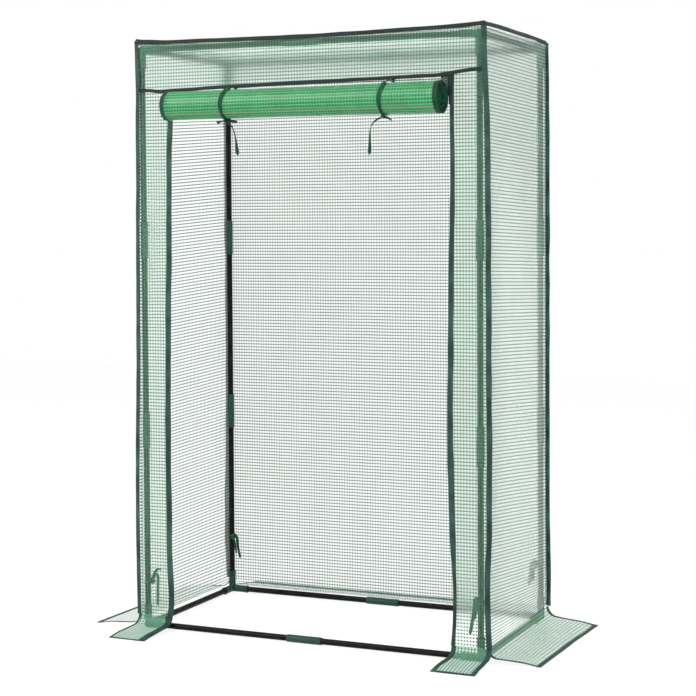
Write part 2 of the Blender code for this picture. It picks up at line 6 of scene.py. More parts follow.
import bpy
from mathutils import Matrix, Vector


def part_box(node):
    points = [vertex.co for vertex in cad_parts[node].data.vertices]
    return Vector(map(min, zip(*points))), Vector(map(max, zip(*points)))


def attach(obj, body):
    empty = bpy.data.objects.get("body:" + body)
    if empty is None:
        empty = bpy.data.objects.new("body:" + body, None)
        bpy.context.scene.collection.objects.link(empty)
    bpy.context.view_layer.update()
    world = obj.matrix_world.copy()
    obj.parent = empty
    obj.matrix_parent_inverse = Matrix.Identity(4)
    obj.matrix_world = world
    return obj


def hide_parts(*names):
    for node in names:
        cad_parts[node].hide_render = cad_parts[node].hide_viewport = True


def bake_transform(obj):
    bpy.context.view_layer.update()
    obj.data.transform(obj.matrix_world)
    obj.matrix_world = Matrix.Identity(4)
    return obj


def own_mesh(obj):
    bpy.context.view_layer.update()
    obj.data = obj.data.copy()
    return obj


bl_info = {
    "name": "Portable Greenhouse",
    "version": (1, 0, 0),
    "blender": (4, 5, 0),
    "location": "View3D > Sidebar > Greenhouse",
    "description": "Builds a portable greenhouse: a plug-together tube frame under a fitted cover of grid film",
    "category": "Add Mesh",
}

import math
from functools import partial

import bpy
from bpy.props import FloatProperty, FloatVectorProperty, PointerProperty
from mathutils import Matrix, Vector, noise

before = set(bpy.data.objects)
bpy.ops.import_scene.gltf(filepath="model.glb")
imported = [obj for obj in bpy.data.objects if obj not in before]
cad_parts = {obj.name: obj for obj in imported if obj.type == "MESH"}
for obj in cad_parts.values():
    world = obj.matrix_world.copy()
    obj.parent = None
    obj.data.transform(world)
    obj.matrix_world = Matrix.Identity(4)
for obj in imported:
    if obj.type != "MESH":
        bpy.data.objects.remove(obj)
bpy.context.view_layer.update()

# Frame of the CAD part: tube axes, and the levels of the cover
POST_X = {
    side: sum(point.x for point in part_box(f"post_front_{side}_section_2")) / 2 for side in ("left", "right")
}
POST_Y = sum(point.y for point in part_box("post_back_right_section_2")) / 2
BASE_AXIS = sum(point.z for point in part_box("bar_base_left")) / 2
TOP_AXIS = sum(point.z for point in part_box("bar_top_left")) / 2
TUBE_RADIUS = 0.008
TUBE_WALL = 0.0008
FITTING_RADIUS = 0.010
FITTING_BORE = 0.0083
RIM_RADIUS = 0.011
RIM_LENGTH = 0.004
SOCKET_REACH = 0.052
SOCKET_STOP = 0.013
ROUND_SIDES = 32
FOLD_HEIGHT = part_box("right_panel")[0].z
FILM_X = 0.4994
FILM_Y = 0.2589
FILM_LEFT = 0.4992
FILM_RIGHT = 0.4928
WALL_BULGE = 0.0010
SIDE_BULGE = 0.0012
SEAM_INSET = 0.0055
SEAM_DROP = 0.0050
BACK_TOP = 1.5985

# How far the middle of each tape stands off the film
HEM_GAP = 0.0006
SEAM_GAP = 0.0010
SIDE_GAP = 0.0014
TOP_GAP = 0.0016
PATCH_GAP = 0.0034

# Ground flaps: their section from the fold down to the ground, and the steps of their edge tapes
FLAP_LENGTH = 0.150
FLAP_BEND_RADIUS = 0.028
FLAP_SLOPE = math.radians(5.5)
FLAP_REACH = 0.132
FLAP_LIFT = 0.0008
FLAP_WAVE = 0.0022
EDGE_START = 0.0006
EDGE_STEP = 0.005
FLAP_BEND_LENGTH = FLAP_BEND_RADIUS * (math.pi / 2 - FLAP_SLOPE)

# Rolled door
ROLL_RADIUS = 0.040
ROLL_TURNS = 9
ROLL_Y = -0.2983
ROLL_PLAY = 0.0008
ROLL_Z = sum(point.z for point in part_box("door_roll")) / 2 + ROLL_PLAY
DOOR_TRAVEL = 1.375
# Place along the rolled film's map of a pale olive stripe in its colour
ROLL_STRIPE = 1.3247
ROLL_MAP_START = 1.42
ROLL_STEPS = 44
ROLL_BAND = 0.012
ROLL_EDGE_THICKNESS = 0.0021
DOOR_LEFT, DOOR_RIGHT = (point.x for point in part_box("door_roll"))
DOOR_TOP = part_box("door_curtain")[1].z

# Ties: places along the door, and the routes of their long tails below the knots, as the CAD part has them
TIE_PLACES = {"left": -0.2075, "right": 0.2420}
TIE_CLEARANCE = 0.0005
TIE_THICKNESS = 0.0009
TIE_HALF = 0.0052
KNOT_SIZE = (0.0075, 0.0055, 0.0035)
BOW_KNOT_SIZE = (0.0100, 0.0056, 0.0088)
BOW_GAP = 0.0035
BOW_END_HALVES = (0.0050, 0.0034)
BOW_HALF_THICKNESS = 0.0006
TIE_ENDS = {
    "left": [(-0.024, -0.002, -0.004), (0.030, 0.008, -0.003)],
    "right": [(0.024, -0.006, -0.008)],
}
TAIL_ROUTES = {
    "left": [
        (0.0056, -0.0023, -0.0033),
        (0.0145, -0.0041, -0.0086),
        (0.0232, -0.0046, -0.0185),
        (0.0290, -0.0050, -0.0330),
        (0.0325, -0.0050, -0.0500),
        (0.0350, -0.0045, -0.0680),
        (0.0380, -0.0040, -0.0920),
    ],
    "right": [
        (-0.0065, -0.0008, -0.0025),
        (-0.0155, -0.0029, -0.0067),
        (-0.0250, -0.0045, -0.0140),
        (-0.0310, -0.0050, -0.0240),
        (-0.0340, -0.0055, -0.0380),
        (-0.0345, -0.0055, -0.0560),
        (-0.0350, -0.0050, -0.0760),
        (-0.0370, -0.0045, -0.0960),
    ],
}

# Lines of the sewn edges, as (height, x) or (x, height): a soft cover hangs a little off its frame
FRONT_LEFT_SEAM = [
    (0.038, -0.5085), (0.100, -0.5080), (0.170, -0.5090), (0.240, -0.5097), (0.384, -0.5090),
    (0.527, -0.5065), (0.670, -0.5035), (0.810, -0.5019), (0.950, -0.4998), (1.100, -0.4992),
    (1.240, -0.4970), (1.380, -0.4965), (1.489, -0.4950), (1.540, -0.4968), (1.600, -0.4982),
]
FRONT_RIGHT_SEAM = [
    (0.038, 0.5068), (0.090, 0.5048), (0.156, 0.5031), (0.220, 0.5032), (0.288, 0.5060),
    (0.354, 0.5075), (0.615, 0.5085), (0.745, 0.5077), (0.940, 0.5073), (1.070, 0.5070),
    (1.260, 0.5064), (1.327, 0.5054), (1.391, 0.5038), (1.456, 0.5010), (1.520, 0.4972),
    (1.600, 0.4965),
]
BACK_SEAMS = {
    -1: [(0.038, 0.5040), (0.100, 0.5075), (0.170, 0.5095), (0.260, 0.5085), (0.420, 0.5050), (0.620, 0.5015),
         (1.600, 0.5010)],
    1: [(0.038, 0.4990), (0.166, 0.4986), (0.310, 0.4962), (1.320, 0.4962), (1.463, 0.4948), (1.600, 0.4938)],
}
STRIP_LEFT_LINE = [
    (0.038, -0.4125), (0.070, -0.4075), (0.099, -0.4065), (0.171, -0.4096), (0.242, -0.4118),
    (0.313, -0.4113), (0.455, -0.4119), (0.597, -0.4115), (0.739, -0.4093), (0.880, -0.4068),
    (1.021, -0.4034), (1.161, -0.4020), (1.301, -0.3991), (1.372, -0.3957), (1.470, -0.3950),
]
STRIP_RIGHT_LINE = [
    (0.038, 0.4096), (0.070, 0.4125), (0.103, 0.4150), (0.169, 0.4154), (0.235, 0.4130),
    (0.301, 0.4107), (0.367, 0.4085), (0.433, 0.4066), (0.565, 0.4042), (0.697, 0.4049),
    (0.894, 0.4072), (1.024, 0.4091), (1.154, 0.4121), (1.284, 0.4128), (1.349, 0.4116),
    (1.450, 0.4120),
]
HEM_WIDTHS = {
    -1: [(0.0, 1.0), (0.4, 1.0), (1.6, 0.92)],
    1: [(0.0, 0.75), (0.060, 0.62), (0.220, 0.58), (0.300, 0.95), (0.900, 0.84), (1.300, 0.70), (1.6, 0.70)],
}
CORNER_PATCH_LINE = [(1.404, 0.4060), (1.425, 0.4070), (1.445, 0.4086), (1.486, 0.4090)]
CORNER_PATCH_WIDTHS = [(1.404, 0.22), (1.425, 0.38), (1.445, 0.58), (1.462, 0.66), (1.472, 0.96), (1.486, 1.0)]
HEADER_LINE = [
    (-0.500, 1.4700), (-0.458, 1.4685), (-0.428, 1.4650), (-0.369, 1.4665), (-0.254, 1.4698),
    (-0.141, 1.4712), (-0.030, 1.4742), (0.079, 1.4748), (0.238, 1.4768), (0.341, 1.4782),
    (0.374, 1.4785), (0.414, 1.4836), (0.443, 1.4870), (0.475, 1.4897), (0.500, 1.4910),
]
TOP_FRONT_LINE = [
    (-0.500, 1.6015), (-0.460, 1.5993), (-0.415, 1.5962), (-0.368, 1.5958), (-0.196, 1.5942),
    (-0.084, 1.5928), (0.133, 1.5935), (0.238, 1.5956), (0.342, 1.5966), (0.443, 1.6000),
    (0.500, 1.6030),
]
LEVEL_THREAD_LEAN = {
    -1: [(0.038, 0.0), (0.250, -0.013), (1.100, -0.025), (1.350, -0.034), (1.600, -0.030)],
    1: [(0.038, 0.0), (0.060, 0.018), (0.120, 0.044), (0.240, 0.053), (0.330, 0.055), (0.900, 0.021),
        (1.400, 0.010), (1.600, 0.006)],
}
TOP_SIDE_LINE = [(-0.260, 1.6025), (-0.175, 1.6042), (0.017, 1.6032), (0.154, 1.6015), (0.260, 1.5985)]

# Camera at the photograph's viewing place
CAMERA_PLACE = (1.93278, -4.32656, 1.12855)
CAMERA_YAW = -0.41841
CAMERA_PITCH = -0.04444
CAMERA_ROLL = -0.00588
CAMERA_LENS = 89.406
CAMERA_SENSOR = 36.0
CAMERA_SHIFT = -0.08

# Half outline of a sewn tape, as shares of its half width and half thickness: a stitched groove near each edge
TAPE_FACE = [(-1.0, 0.0), (-0.97, 0.62), (-0.88, 0.95), (-0.74, 0.72), (-0.60, 1.0), (-0.2, 0.97)]
TAPE_RING = TAPE_FACE + [(-a, n) for a, n in TAPE_FACE[::-1]]
TAPE_RING += [(a, -n) for a, n in TAPE_RING[-2:0:-1]]
TAPE_DEPTH = 0.0012
TAPE_STEP = 0.010
TAPE_TWIST = 0.16
TAPE_PLAY = 0.14
TAPE_SWAY = 0.0009
ROUTE_STEP = 0.004
SHEET_STEP = 0.020
LAYER_GAP = 0.0004

# Modelling: distance for merging doubles, sharpest smooth angle on cloth, and the three axes
MERGE = 1e-6
CORNER_MERGE = 2e-5
CLOTH_ANGLE = math.radians(50)
AXES = [Vector((1, 0, 0)), Vector((0, 1, 0)), Vector((0, 0, 1))]
FRAME_BODY = "frame_and_cover"

# Steps of a sheet as shares of its width and height, and shifts of the map that give each wall its own clouds
SHARE_STEP = 0.02
RISE_STEP = 0.0125
SIDE_SHIFT, BACK_SHIFT, ROOF_SHIFT = 1.5, 3.0, 6.0


# Settings


def size_setting(name, description, default):
    return FloatProperty(
        name=name, description=description, default=default, min=0.0002, unit="LENGTH", precision=5
    )


def colour_setting(name, description, default):
    return FloatVectorProperty(
        name=name, description=description, default=default, min=0, max=1, subtype="COLOR"
    )


class GreenhouseFilm(bpy.types.PropertyGroup):
    """Sizes and colours of the grid film."""

    pitch_across: size_setting("Pitch Across", "Distance between upright threads", 0.00815)
    pitch_down: size_setting("Pitch Down", "Distance between level threads", 0.0089)
    level_thread: size_setting("Level Thread", "Width of the level threads", 0.0033)
    upright_thread: size_setting("Upright Thread", "Width of the upright threads", 0.0033)
    thread_colour: colour_setting("Thread Colour", "Colour of the laid threads", (0.14, 0.36, 0.22))
    # Painted shade: a darker, greyer copy of the thread colour, used for the threads of the left and back
    # walls, which are seen from inside the cover.
    painted_shade_thread_colour: colour_setting(
        "Shaded Thread Colour", "Colour of the threads of the left and back walls", (0.11, 0.21, 0.16)
    )
    cell_colour: colour_setting("Cell Colour", "Tint of the clear film", (0.80, 0.92, 0.86))
    roll_colour: colour_setting("Roll Colour", "Colour of many layers of film", (0.045, 0.27, 0.10))


class GreenhouseTrim(bpy.types.PropertyGroup):
    """Colours of the sewn tapes."""

    colour: colour_setting("Binding Colour", "Colour of the binding tape", (0.024, 0.062, 0.050))
    tie_colour: colour_setting("Tie Colour", "Colour of the tie tapes", (0.006, 0.066, 0.032))


class GreenhouseFrame(bpy.types.PropertyGroup):
    """Colours of the tubes and their fittings."""

    tube_colour: colour_setting("Tube Colour", "Colour of the coated tubes", (0.003, 0.003, 0.0035))
    fitting_colour: colour_setting("Fitting Colour", "Colour of the plastic fittings", (0.007, 0.045, 0.032))


class GreenhouseStudio(bpy.types.PropertyGroup):
    """Light and floor."""

    world_light: FloatProperty(
        name="World Light", description="Strength of the even light", default=0.62, min=0
    )
    key_light: FloatProperty(
        name="Key Light", description="Power of the large soft lamp", default=150.0, min=0, unit="POWER"
    )
    fill_light: FloatProperty(
        name="Fill Light", description="Power of the filling lamp", default=60.0, min=0, unit="POWER"
    )
    floor_colour: colour_setting("Floor Colour", "Colour of the pale floor", (0.86, 0.86, 0.86))


# Small tools


def just_added(name):
    """The primitive that was just added, under its name."""
    piece = bpy.context.object
    piece.name = piece.data.name = name
    return piece


def edit_all():
    bpy.ops.object.mode_set(mode="EDIT")
    bpy.ops.mesh.select_all(action="SELECT")


def close_shell(merge, fill=True):
    """Merges doubles, fills the open ends and turns the faces outwards, and leaves edit mode."""
    bpy.ops.mesh.remove_doubles(threshold=merge)
    if fill:
        bpy.ops.mesh.fill_holes(sides=0)
    bpy.ops.mesh.select_all(action="SELECT")
    bpy.ops.mesh.normals_make_consistent(inside=False)
    bpy.ops.object.mode_set(mode="OBJECT")


def deselect():
    if bpy.context.object and bpy.context.object.mode != "OBJECT":
        bpy.ops.object.mode_set(mode="OBJECT")
    bpy.ops.object.select_all(action="DESELECT")


def read(table, at):
    """The value of a table of (place, value) pairs at a place, on a smooth curve through them."""
    if at <= table[0][0]:
        return table[0][1]
    if at >= table[-1][0]:
        return table[-1][1]
    n = next(i for i in range(1, len(table)) if table[i][0] >= at)
    slopes = []
    for m in (n - 1, n):
        a, b = table[max(m - 1, 0)], table[min(m + 1, len(table) - 1)]
        slopes.append((b[1] - a[1]) / (b[0] - a[0]))
    (x0, y0), (x1, y1) = table[n - 1], table[n]
    t = (at - x0) / (x1 - x0)
    rise = (1 + 2 * t) * (1 - t) ** 2 * y0 + t * t * (3 - 2 * t) * y1
    return rise + (x1 - x0) * (t * (1 - t) ** 2 * slopes[0] - t * t * (1 - t) * slopes[1])


def mix(a, b, share):
    return a + (b - a) * share


def ease(share):
    share = min(max(share, 0.0), 1.0)
    return share * share * (3 - 2 * share)


def evenly(low, high, step):
    count = max(2, math.ceil(abs(high - low) / step))
    return [mix(low, high, n / count) for n in range(count + 1)]


def wander(a, b, seed, size, grain=3.0):
    """A smooth unevenness of this size, the same on every run."""
    return size * noise.noise(Vector((a * grain, b * grain, seed)))


def dress(piece, material, replaces=(), body=FRAME_BODY):
    """Gives a piece its material and its body, and hides the CAD parts that it replaces."""
    piece.data.materials.clear()
    piece.data.materials.append(bpy.data.materials[material])
    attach(piece, body)
    if replaces:
        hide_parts(*replaces)
    return piece


def cloth(name, columns, rows, place):
    """A sheet of cloth: a grid whose points go to place(column, row), a point and its map in metres."""
    deselect()
    bpy.ops.mesh.primitive_grid_add(x_subdivisions=len(columns) - 1, y_subdivisions=len(rows) - 1, size=2.0)
    piece = just_added(name)
    mesh = piece.data
    spots = []
    for vertex in mesh.vertices:
        column = columns[round((vertex.co.x + 1) / 2 * (len(columns) - 1))]
        row = rows[round((vertex.co.y + 1) / 2 * (len(rows) - 1))]
        point, spot = place(column, row)
        vertex.co = point
        spots.append(spot)
    layer = mesh.uv_layers.active
    layer.name = "metres"
    for loop in mesh.loops:
        layer.data[loop.index].uv = spots[loop.vertex_index]
    bpy.ops.object.shade_smooth()
    return piece


def tape(name, stations, ring=TAPE_RING):
    """A tape along stations of (centre, across, normal), the last two as long as its half width and depth."""
    lengths = [0.0]
    for (a, *_), (b, *_) in zip(stations, stations[1:]):
        lengths.append(lengths[-1] + (b - a).length)
    around = list(range(len(ring))) + [0]

    def place(corner, station):
        centre, across, normal = stations[station]
        a, n = ring[around[corner]]
        return centre + across * a + normal * n, (lengths[station], a * across.length)

    piece = cloth(name, list(range(len(ring) + 1)), list(range(len(stations))), place)
    edit_all()
    close_shell(MERGE)
    bpy.ops.object.shade_smooth_by_angle(angle=CLOTH_ANGLE)
    return piece


def ahead_at(points, n):
    return (points[min(n + 1, len(points) - 1)] - points[max(n - 1, 0)]).normalized()


def square_to(ahead, normal, angle=0.0):
    """The (across, normal) of a tape that runs this way and faces about this way, turned by an angle."""
    normal = (normal - ahead * normal.dot(ahead)).normalized()
    across = normal.cross(ahead)
    return (
        across * math.cos(angle) + normal * math.sin(angle),
        normal * math.cos(angle) - across * math.sin(angle),
    )


def edge_tape(
    name,
    points,
    facing,
    half_width,
    material,
    seed,
    half_thickness=TAPE_DEPTH,
    body=FRAME_BODY,
    share_of_width=None,
):
    """A flat tape sewn along points. Its width and lie vary a little.

    facing is the way its face looks, or a function of the number of a point that gives it.
    share_of_width is a function of the height.
    """
    stations = []
    for n, point in enumerate(points):
        at = n * TAPE_STEP
        angle = wander(at, 0.0, seed + 7.0, TAPE_TWIST, grain=11.0)
        looks = facing(n) if callable(facing) else Vector(facing)
        across, normal = square_to(ahead_at(points, n), looks, angle)
        width = half_width * (1 + wander(at, 0.0, seed, TAPE_PLAY, grain=14.0))
        if share_of_width:
            width *= share_of_width(point.z)
        sway = across * wander(at, 1.0, seed + 3.0, TAPE_SWAY, grain=9.0)
        stations.append((point + sway, across * width, normal * half_thickness))
    return dress(tape(name, stations), material, body=body)


def strip_along(name, route, half_width, half_thickness, twist, first_normal=(0.0, -1.0, 0.0)):
    """A narrow tape along a route. half_width and twist are functions of the share of its length."""
    stations = []
    for n, point in enumerate(route):
        share = n / (len(route) - 1)
        across, normal = square_to(ahead_at(route, n), Vector(first_normal), twist(share))
        stations.append((point, across * half_width(share), normal * half_thickness))
    return tape(name, stations)


def smooth_route(points, spacing, samples=16):
    """Points at even steps on a smooth curve through the chosen ones, and the curve's length."""
    padded = [points[0] * 2 - points[1], *points, points[-1] * 2 - points[-2]]
    fine = [points[0]]
    for before, start, end, after in zip(padded, padded[1:], padded[2:], padded[3:]):
        for n in range(1, samples + 1):
            t = n / samples
            curve = (end - before) * t + (before * 2 - start * 5 + end * 4 - after) * t**2
            curve += (start * 3 - before - end * 3 + after) * t**3
            fine.append(start + curve / 2)
    lengths = [0.0]
    for a, b in zip(fine, fine[1:]):
        lengths.append(lengths[-1] + (b - a).length)
    count = max(2, round(lengths[-1] / spacing))
    route = []
    for n in range(count + 1):
        wanted = lengths[-1] * n / count
        m = next(i for i in range(1, len(fine)) if lengths[i] >= wanted - 1e-9)
        share = (wanted - lengths[m - 1]) / (lengths[m] - lengths[m - 1])
        route.append(fine[m - 1].lerp(fine[m], share))
    return route, lengths[-1]


def turned(name, profile, sides=ROUND_SIDES, ring=True):
    """A circle extruded and scaled through a profile of (radius, height), a ring or filled at its ends."""
    deselect()
    radius, height = profile[0]
    bpy.ops.mesh.primitive_circle_add(vertices=sides, radius=radius, location=(0, 0, height))
    piece = just_added(name)
    bpy.ops.object.transform_apply(location=True, rotation=True, scale=True)
    edit_all()
    for wider, higher in profile[1:] + (profile[:1] if ring else []):
        bpy.ops.mesh.extrude_region_move(TRANSFORM_OT_translate={"value": (0, 0, higher - height)})
        share = wider / radius
        bpy.ops.transform.resize(value=(share, share, 1.0), center_override=(0, 0, higher))
        radius, height = wider, higher
    bpy.ops.mesh.select_all(action="SELECT")
    close_shell(MERGE, fill=not ring)
    return piece


def copied(source, name, matrix):
    """A copy of a modelled piece with its own mesh, moved by a matrix that ends up in that mesh."""
    mesh = source.data.copy()
    mesh.transform(matrix)
    mesh.name = name
    piece = bpy.data.objects.new(name, mesh)
    bpy.context.scene.collection.objects.link(piece)
    return piece


def another_layer(piece, name, away, material):
    """A copy of a sheet a little way off along its normals."""
    layer = copied(piece, name, Matrix())
    normals = [vertex.normal.copy() for vertex in layer.data.vertices]
    for vertex, normal in zip(layer.data.vertices, normals):
        vertex.co += normal * away
    return dress(layer, material)


def frosted(piece, both_faces=False):
    """The milky sheet behind the threads of a film, and a second lot of threads where both faces are seen."""
    if not both_faces:
        return [another_layer(piece, f"{piece.name}_frost", -LAYER_GAP, "frosted_film")]
    return [
        another_layer(piece, f"{piece.name}_frost", LAYER_GAP, "frosted_film"),
        another_layer(piece, f"{piece.name}_outer", 2 * LAYER_GAP, "outer_grid_film"),
    ]


def forget(piece):
    mesh = piece.data
    bpy.data.objects.remove(piece, do_unlink=True)
    bpy.data.meshes.remove(mesh)


# Materials


def feed(tree, made, inputs):
    """Links a node's inputs to other sockets, or sets them to plain values."""
    for name, value in dict(inputs).items():
        if isinstance(value, bpy.types.NodeSocket):
            tree.links.new(value, made.inputs[name])
        else:
            made.inputs[name].default_value = value


def node(tree, kind, inputs=(), **settings):
    made = tree.nodes.new(kind)
    for name, value in settings.items():
        setattr(made, name, value)
    feed(tree, made, inputs)
    return made


def vectors(tree, operation, inputs):
    return node(tree, "ShaderNodeVectorMath", inputs, operation=operation).outputs[0]


def noise_on(tree, where, scale, detail):
    return node(tree, "ShaderNodeTexNoise", {"Vector": where, "Scale": scale, "Detail": detail}).outputs["Fac"]


def coordinates(tree, kind):
    return node(tree, "ShaderNodeTexCoord").outputs[kind]


def sum_of(tree, operation, a, b=0.0, c=0.0):
    return node(tree, "ShaderNodeMath", {0: a, 1: b, 2: c}, operation=operation).outputs[0]


def ramp(tree, value, low, high, to_low=0.0, to_high=1.0, smooth=True):
    kind = "SMOOTHSTEP" if smooth else "LINEAR"
    inputs = {"Value": value, "From Min": low, "From Max": high, "To Min": to_low, "To Max": to_high}
    return node(tree, "ShaderNodeMapRange", inputs, interpolation_type=kind).outputs["Result"]


def blend_colour(tree, share, a, b):
    a, b = (value if isinstance(value, bpy.types.NodeSocket) else (*value[:3], 1.0) for value in (a, b))
    return node(tree, "ShaderNodeMix", {0: share, 6: a, 7: b}, data_type="RGBA").outputs[2]


def tinted(colour, share, lift=0.0):
    return [c * share + lift for c in colour]


def seen_directly(tree):
    """1 for rays from the camera, from a mirror and through clear film, which see the white background."""
    path = node(tree, "ShaderNodeLightPath").outputs
    seen = sum_of(tree, "MAXIMUM", path["Is Camera Ray"], path["Is Glossy Ray"])
    return sum_of(tree, "MAXIMUM", seen, path["Is Transmission Ray"])


def group(name, inputs, outputs):
    """A shader node group. An input without a default is a vector; the others and all outputs are numbers."""
    tree = bpy.data.node_groups.new(name, "ShaderNodeTree")
    for label, default in inputs.items():
        kind = "NodeSocketVector" if default is None else "NodeSocketFloat"
        socket = tree.interface.new_socket(name=label, in_out="INPUT", socket_type=kind)
        if default is not None:
            socket.default_value = default
    for label in outputs:
        tree.interface.new_socket(name=label, in_out="OUTPUT", socket_type="NodeSocketFloat")
    return tree, tree.nodes.new("NodeGroupInput").outputs, tree.nodes.new("NodeGroupOutput")


def put_out(tree, out, values):
    for label, value in values.items():
        tree.links.new(value, out.inputs[label])


def use_group(tree, name, inputs):
    made = tree.nodes.new("ShaderNodeGroup")
    made.node_tree = bpy.data.node_groups[name]
    feed(tree, made, inputs)
    return made.outputs


def grid_group():
    """Level and upright threads of a film, from a map in metres."""
    tree, given, out = group(
        "laid_threads",
        {
            "Map": None,
            "Pitch Across": 0.00815,
            "Pitch Down": 0.0089,
            "Upright Thread": 0.0024,
            "Level Thread": 0.0029,
            "Sway": 0.0012,
        },
        ("Threads", "Crossings", "Height"),
    )
    swaying = node(tree, "ShaderNodeTexNoise", {"Vector": given["Map"], "Scale": 7.0, "Detail": 1.0})
    shifted = vectors(tree, "SUBTRACT", {0: swaying.outputs["Color"], 1: (0.5, 0.5, 0.5)})
    scaled = vectors(tree, "SCALE", {0: shifted, "Scale": given["Sway"]})
    moved = vectors(tree, "ADD", {0: given["Map"], 1: scaled})
    parts = node(tree, "ShaderNodeSeparateXYZ", {"Vector": moved}).outputs
    masks, shares = [], []
    for axis, pitch, width in (("X", "Pitch Across", "Upright Thread"), ("Y", "Pitch Down", "Level Thread")):
        turns = sum_of(tree, "DIVIDE", parts[axis], given[pitch])
        away = sum_of(tree, "MULTIPLY", sum_of(tree, "PINGPONG", turns, 0.5), given[pitch])
        half = sum_of(tree, "MULTIPLY", given[width], 0.5)
        shares.append(sum_of(tree, "DIVIDE", away, half))
        masks.append(ramp(tree, shares[-1], 0.72, 1.18, 1.0, 0.0))
    upright, level = masks
    squares = [sum_of(tree, "MULTIPLY", share, share) for share in shares]
    crossings = ramp(tree, sum_of(tree, "ADD", *squares), 0.9, 1.9, 1.0, 0.0)
    threads = sum_of(tree, "MAXIMUM", sum_of(tree, "MULTIPLY", upright, 0.60), level)
    threads = sum_of(tree, "MAXIMUM", threads, crossings)
    height = sum_of(tree, "ADD", sum_of(tree, "MULTIPLY", upright, 0.5), sum_of(tree, "MULTIPLY", level, 0.5))
    put_out(tree, out, {"Threads": threads, "Crossings": crossings, "Height": height})


def stitch_group():
    """The weave of a tape and a row of stitches near each of its edges, from a map in metres."""
    tree, given, out = group(
        "sewn_tape",
        {"Map": None, "Stitch Line": 0.0046, "Stitch Pitch": 0.0042, "Rib Pitch": 0.0013},
        ("Stitches", "Ribs", "Height"),
    )
    parts = node(tree, "ShaderNodeSeparateXYZ", {"Vector": given["Map"]}).outputs
    across = sum_of(tree, "ABSOLUTE", parts["Y"])
    off_line = sum_of(tree, "ABSOLUTE", sum_of(tree, "SUBTRACT", across, given["Stitch Line"]))
    on_line = ramp(tree, off_line, 0.0002, 0.0005, 1.0, 0.0)
    step = sum_of(tree, "PINGPONG", sum_of(tree, "DIVIDE", parts["X"], given["Stitch Pitch"]), 0.5)
    stitches = sum_of(tree, "MULTIPLY", on_line, ramp(tree, step, 0.10, 0.18))
    rib = sum_of(tree, "PINGPONG", sum_of(tree, "DIVIDE", parts["X"], given["Rib Pitch"]), 0.5)
    ribs = sum_of(tree, "MULTIPLY", rib, 2.0)
    height = sum_of(tree, "ADD", sum_of(tree, "MULTIPLY", ribs, 0.25), stitches)
    put_out(tree, out, {"Stitches": stitches, "Ribs": ribs, "Height": height})


def grain_group():
    """Patches of dust and rubbing, and fine grain, on Object coordinates."""
    tree, given, out = group(
        "rubbed_grain", {"Place": None, "Patch Scale": 30.0, "Grain Scale": 1500.0}, ("Patches", "Grain")
    )
    patches = noise_on(tree, given["Place"], given["Patch Scale"], 4.0)
    grain = noise_on(tree, given["Place"], given["Grain Scale"], 1.0)
    put_out(tree, out, {"Patches": ramp(tree, patches, 0.35, 0.7), "Grain": grain})


def new_material(name):
    material = bpy.data.materials.new(name)
    material.use_nodes = True
    return material.node_tree, material.node_tree.nodes["Principled BSDF"]


def finish_shader(tree, shader, colour, roughness, height=None, depth=0.001, alpha=None, specular=None):
    """Feeds the sockets of a Principled BSDF. Those that are left out keep their own values."""
    inputs = {"Base Color": colour, "Roughness": roughness, "Alpha": alpha, "Specular IOR Level": specular}
    if height is not None:
        bump = node(tree, "ShaderNodeBump", {"Strength": 0.7, "Distance": depth, "Height": height})
        inputs["Normal"] = bump.outputs["Normal"]
    feed(tree, shader, {name: value for name, value in inputs.items() if value is not None})


def film_threads(tree, film, where):
    return use_group(
        tree,
        "laid_threads",
        {
            "Map": where,
            "Pitch Across": film.pitch_across,
            "Pitch Down": film.pitch_down,
            "Upright Thread": film.upright_thread,
            "Level Thread": film.level_thread,
        },
    )


def film_material(
    name, film, cell=0.010, haze=0.045, tint=None, dye=None, thread=0.54, crossing=0.98, on_object=False
):
    """Clear film with threads laid in it. The haze is where the film is folded, dusty or doubled.

    cell, haze, thread and crossing say how much each of them covers what lies behind.
    """
    tree, shader = new_material(name)
    where = coordinates(tree, "Object" if on_object else "UV")
    if on_object:
        parts = node(tree, "ShaderNodeSeparateXYZ", {"Vector": where}).outputs
        where = node(tree, "ShaderNodeCombineXYZ", {"X": parts["X"], "Y": parts["Z"]}).outputs[0]
    threads = film_threads(tree, film, where)
    hazy = ramp(tree, noise_on(tree, where, 5.5, 3.0), 0.42, 0.72)
    cell_alpha = ramp(tree, hazy, 0.0, 1.0, cell, haze, smooth=False)
    thread_alpha = sum_of(tree, "MULTIPLY_ADD", threads["Crossings"], crossing - thread, thread)
    over_cell = sum_of(tree, "SUBTRACT", thread_alpha, cell_alpha)
    alpha = sum_of(tree, "MULTIPLY_ADD", over_cell, threads["Threads"], cell_alpha)
    dye = dye or film.thread_colour
    worn = blend_colour(tree, hazy, dye, tinted(dye, 1.2))
    doubled = blend_colour(tree, threads["Crossings"], worn, tinted(dye, 0.30))
    colour = blend_colour(tree, threads["Threads"], tint or film.cell_colour, doubled)
    height = sum_of(tree, "MULTIPLY_ADD", noise_on(tree, where, 60.0, 2.0), 0.6, threads["Height"])
    roughness = ramp(tree, threads["Threads"], 0.0, 1.0, 0.20, 0.42, smooth=False)
    finish_shader(tree, shader, colour, roughness, height, 0.0005, alpha, specular=0.16)


def frost_material(film):
    """The milky body of the film: what touches it shows through it, and what is far behind it melts away."""
    tree, shader = new_material("frosted_film")
    clouds = noise_on(tree, coordinates(tree, "UV"), 9.0, 3.0)
    clear, milky = ([mix(c, 1.0, white) for c in film.cell_colour] for white in (0.9, 0.7))
    colour = blend_colour(tree, ramp(tree, clouds, 0.35, 0.7), clear, milky)
    finish_shader(tree, shader, colour, 1.0, alpha=0.88)
    feed(tree, shader, {"Transmission Weight": 1.0, "IOR": 1.03})


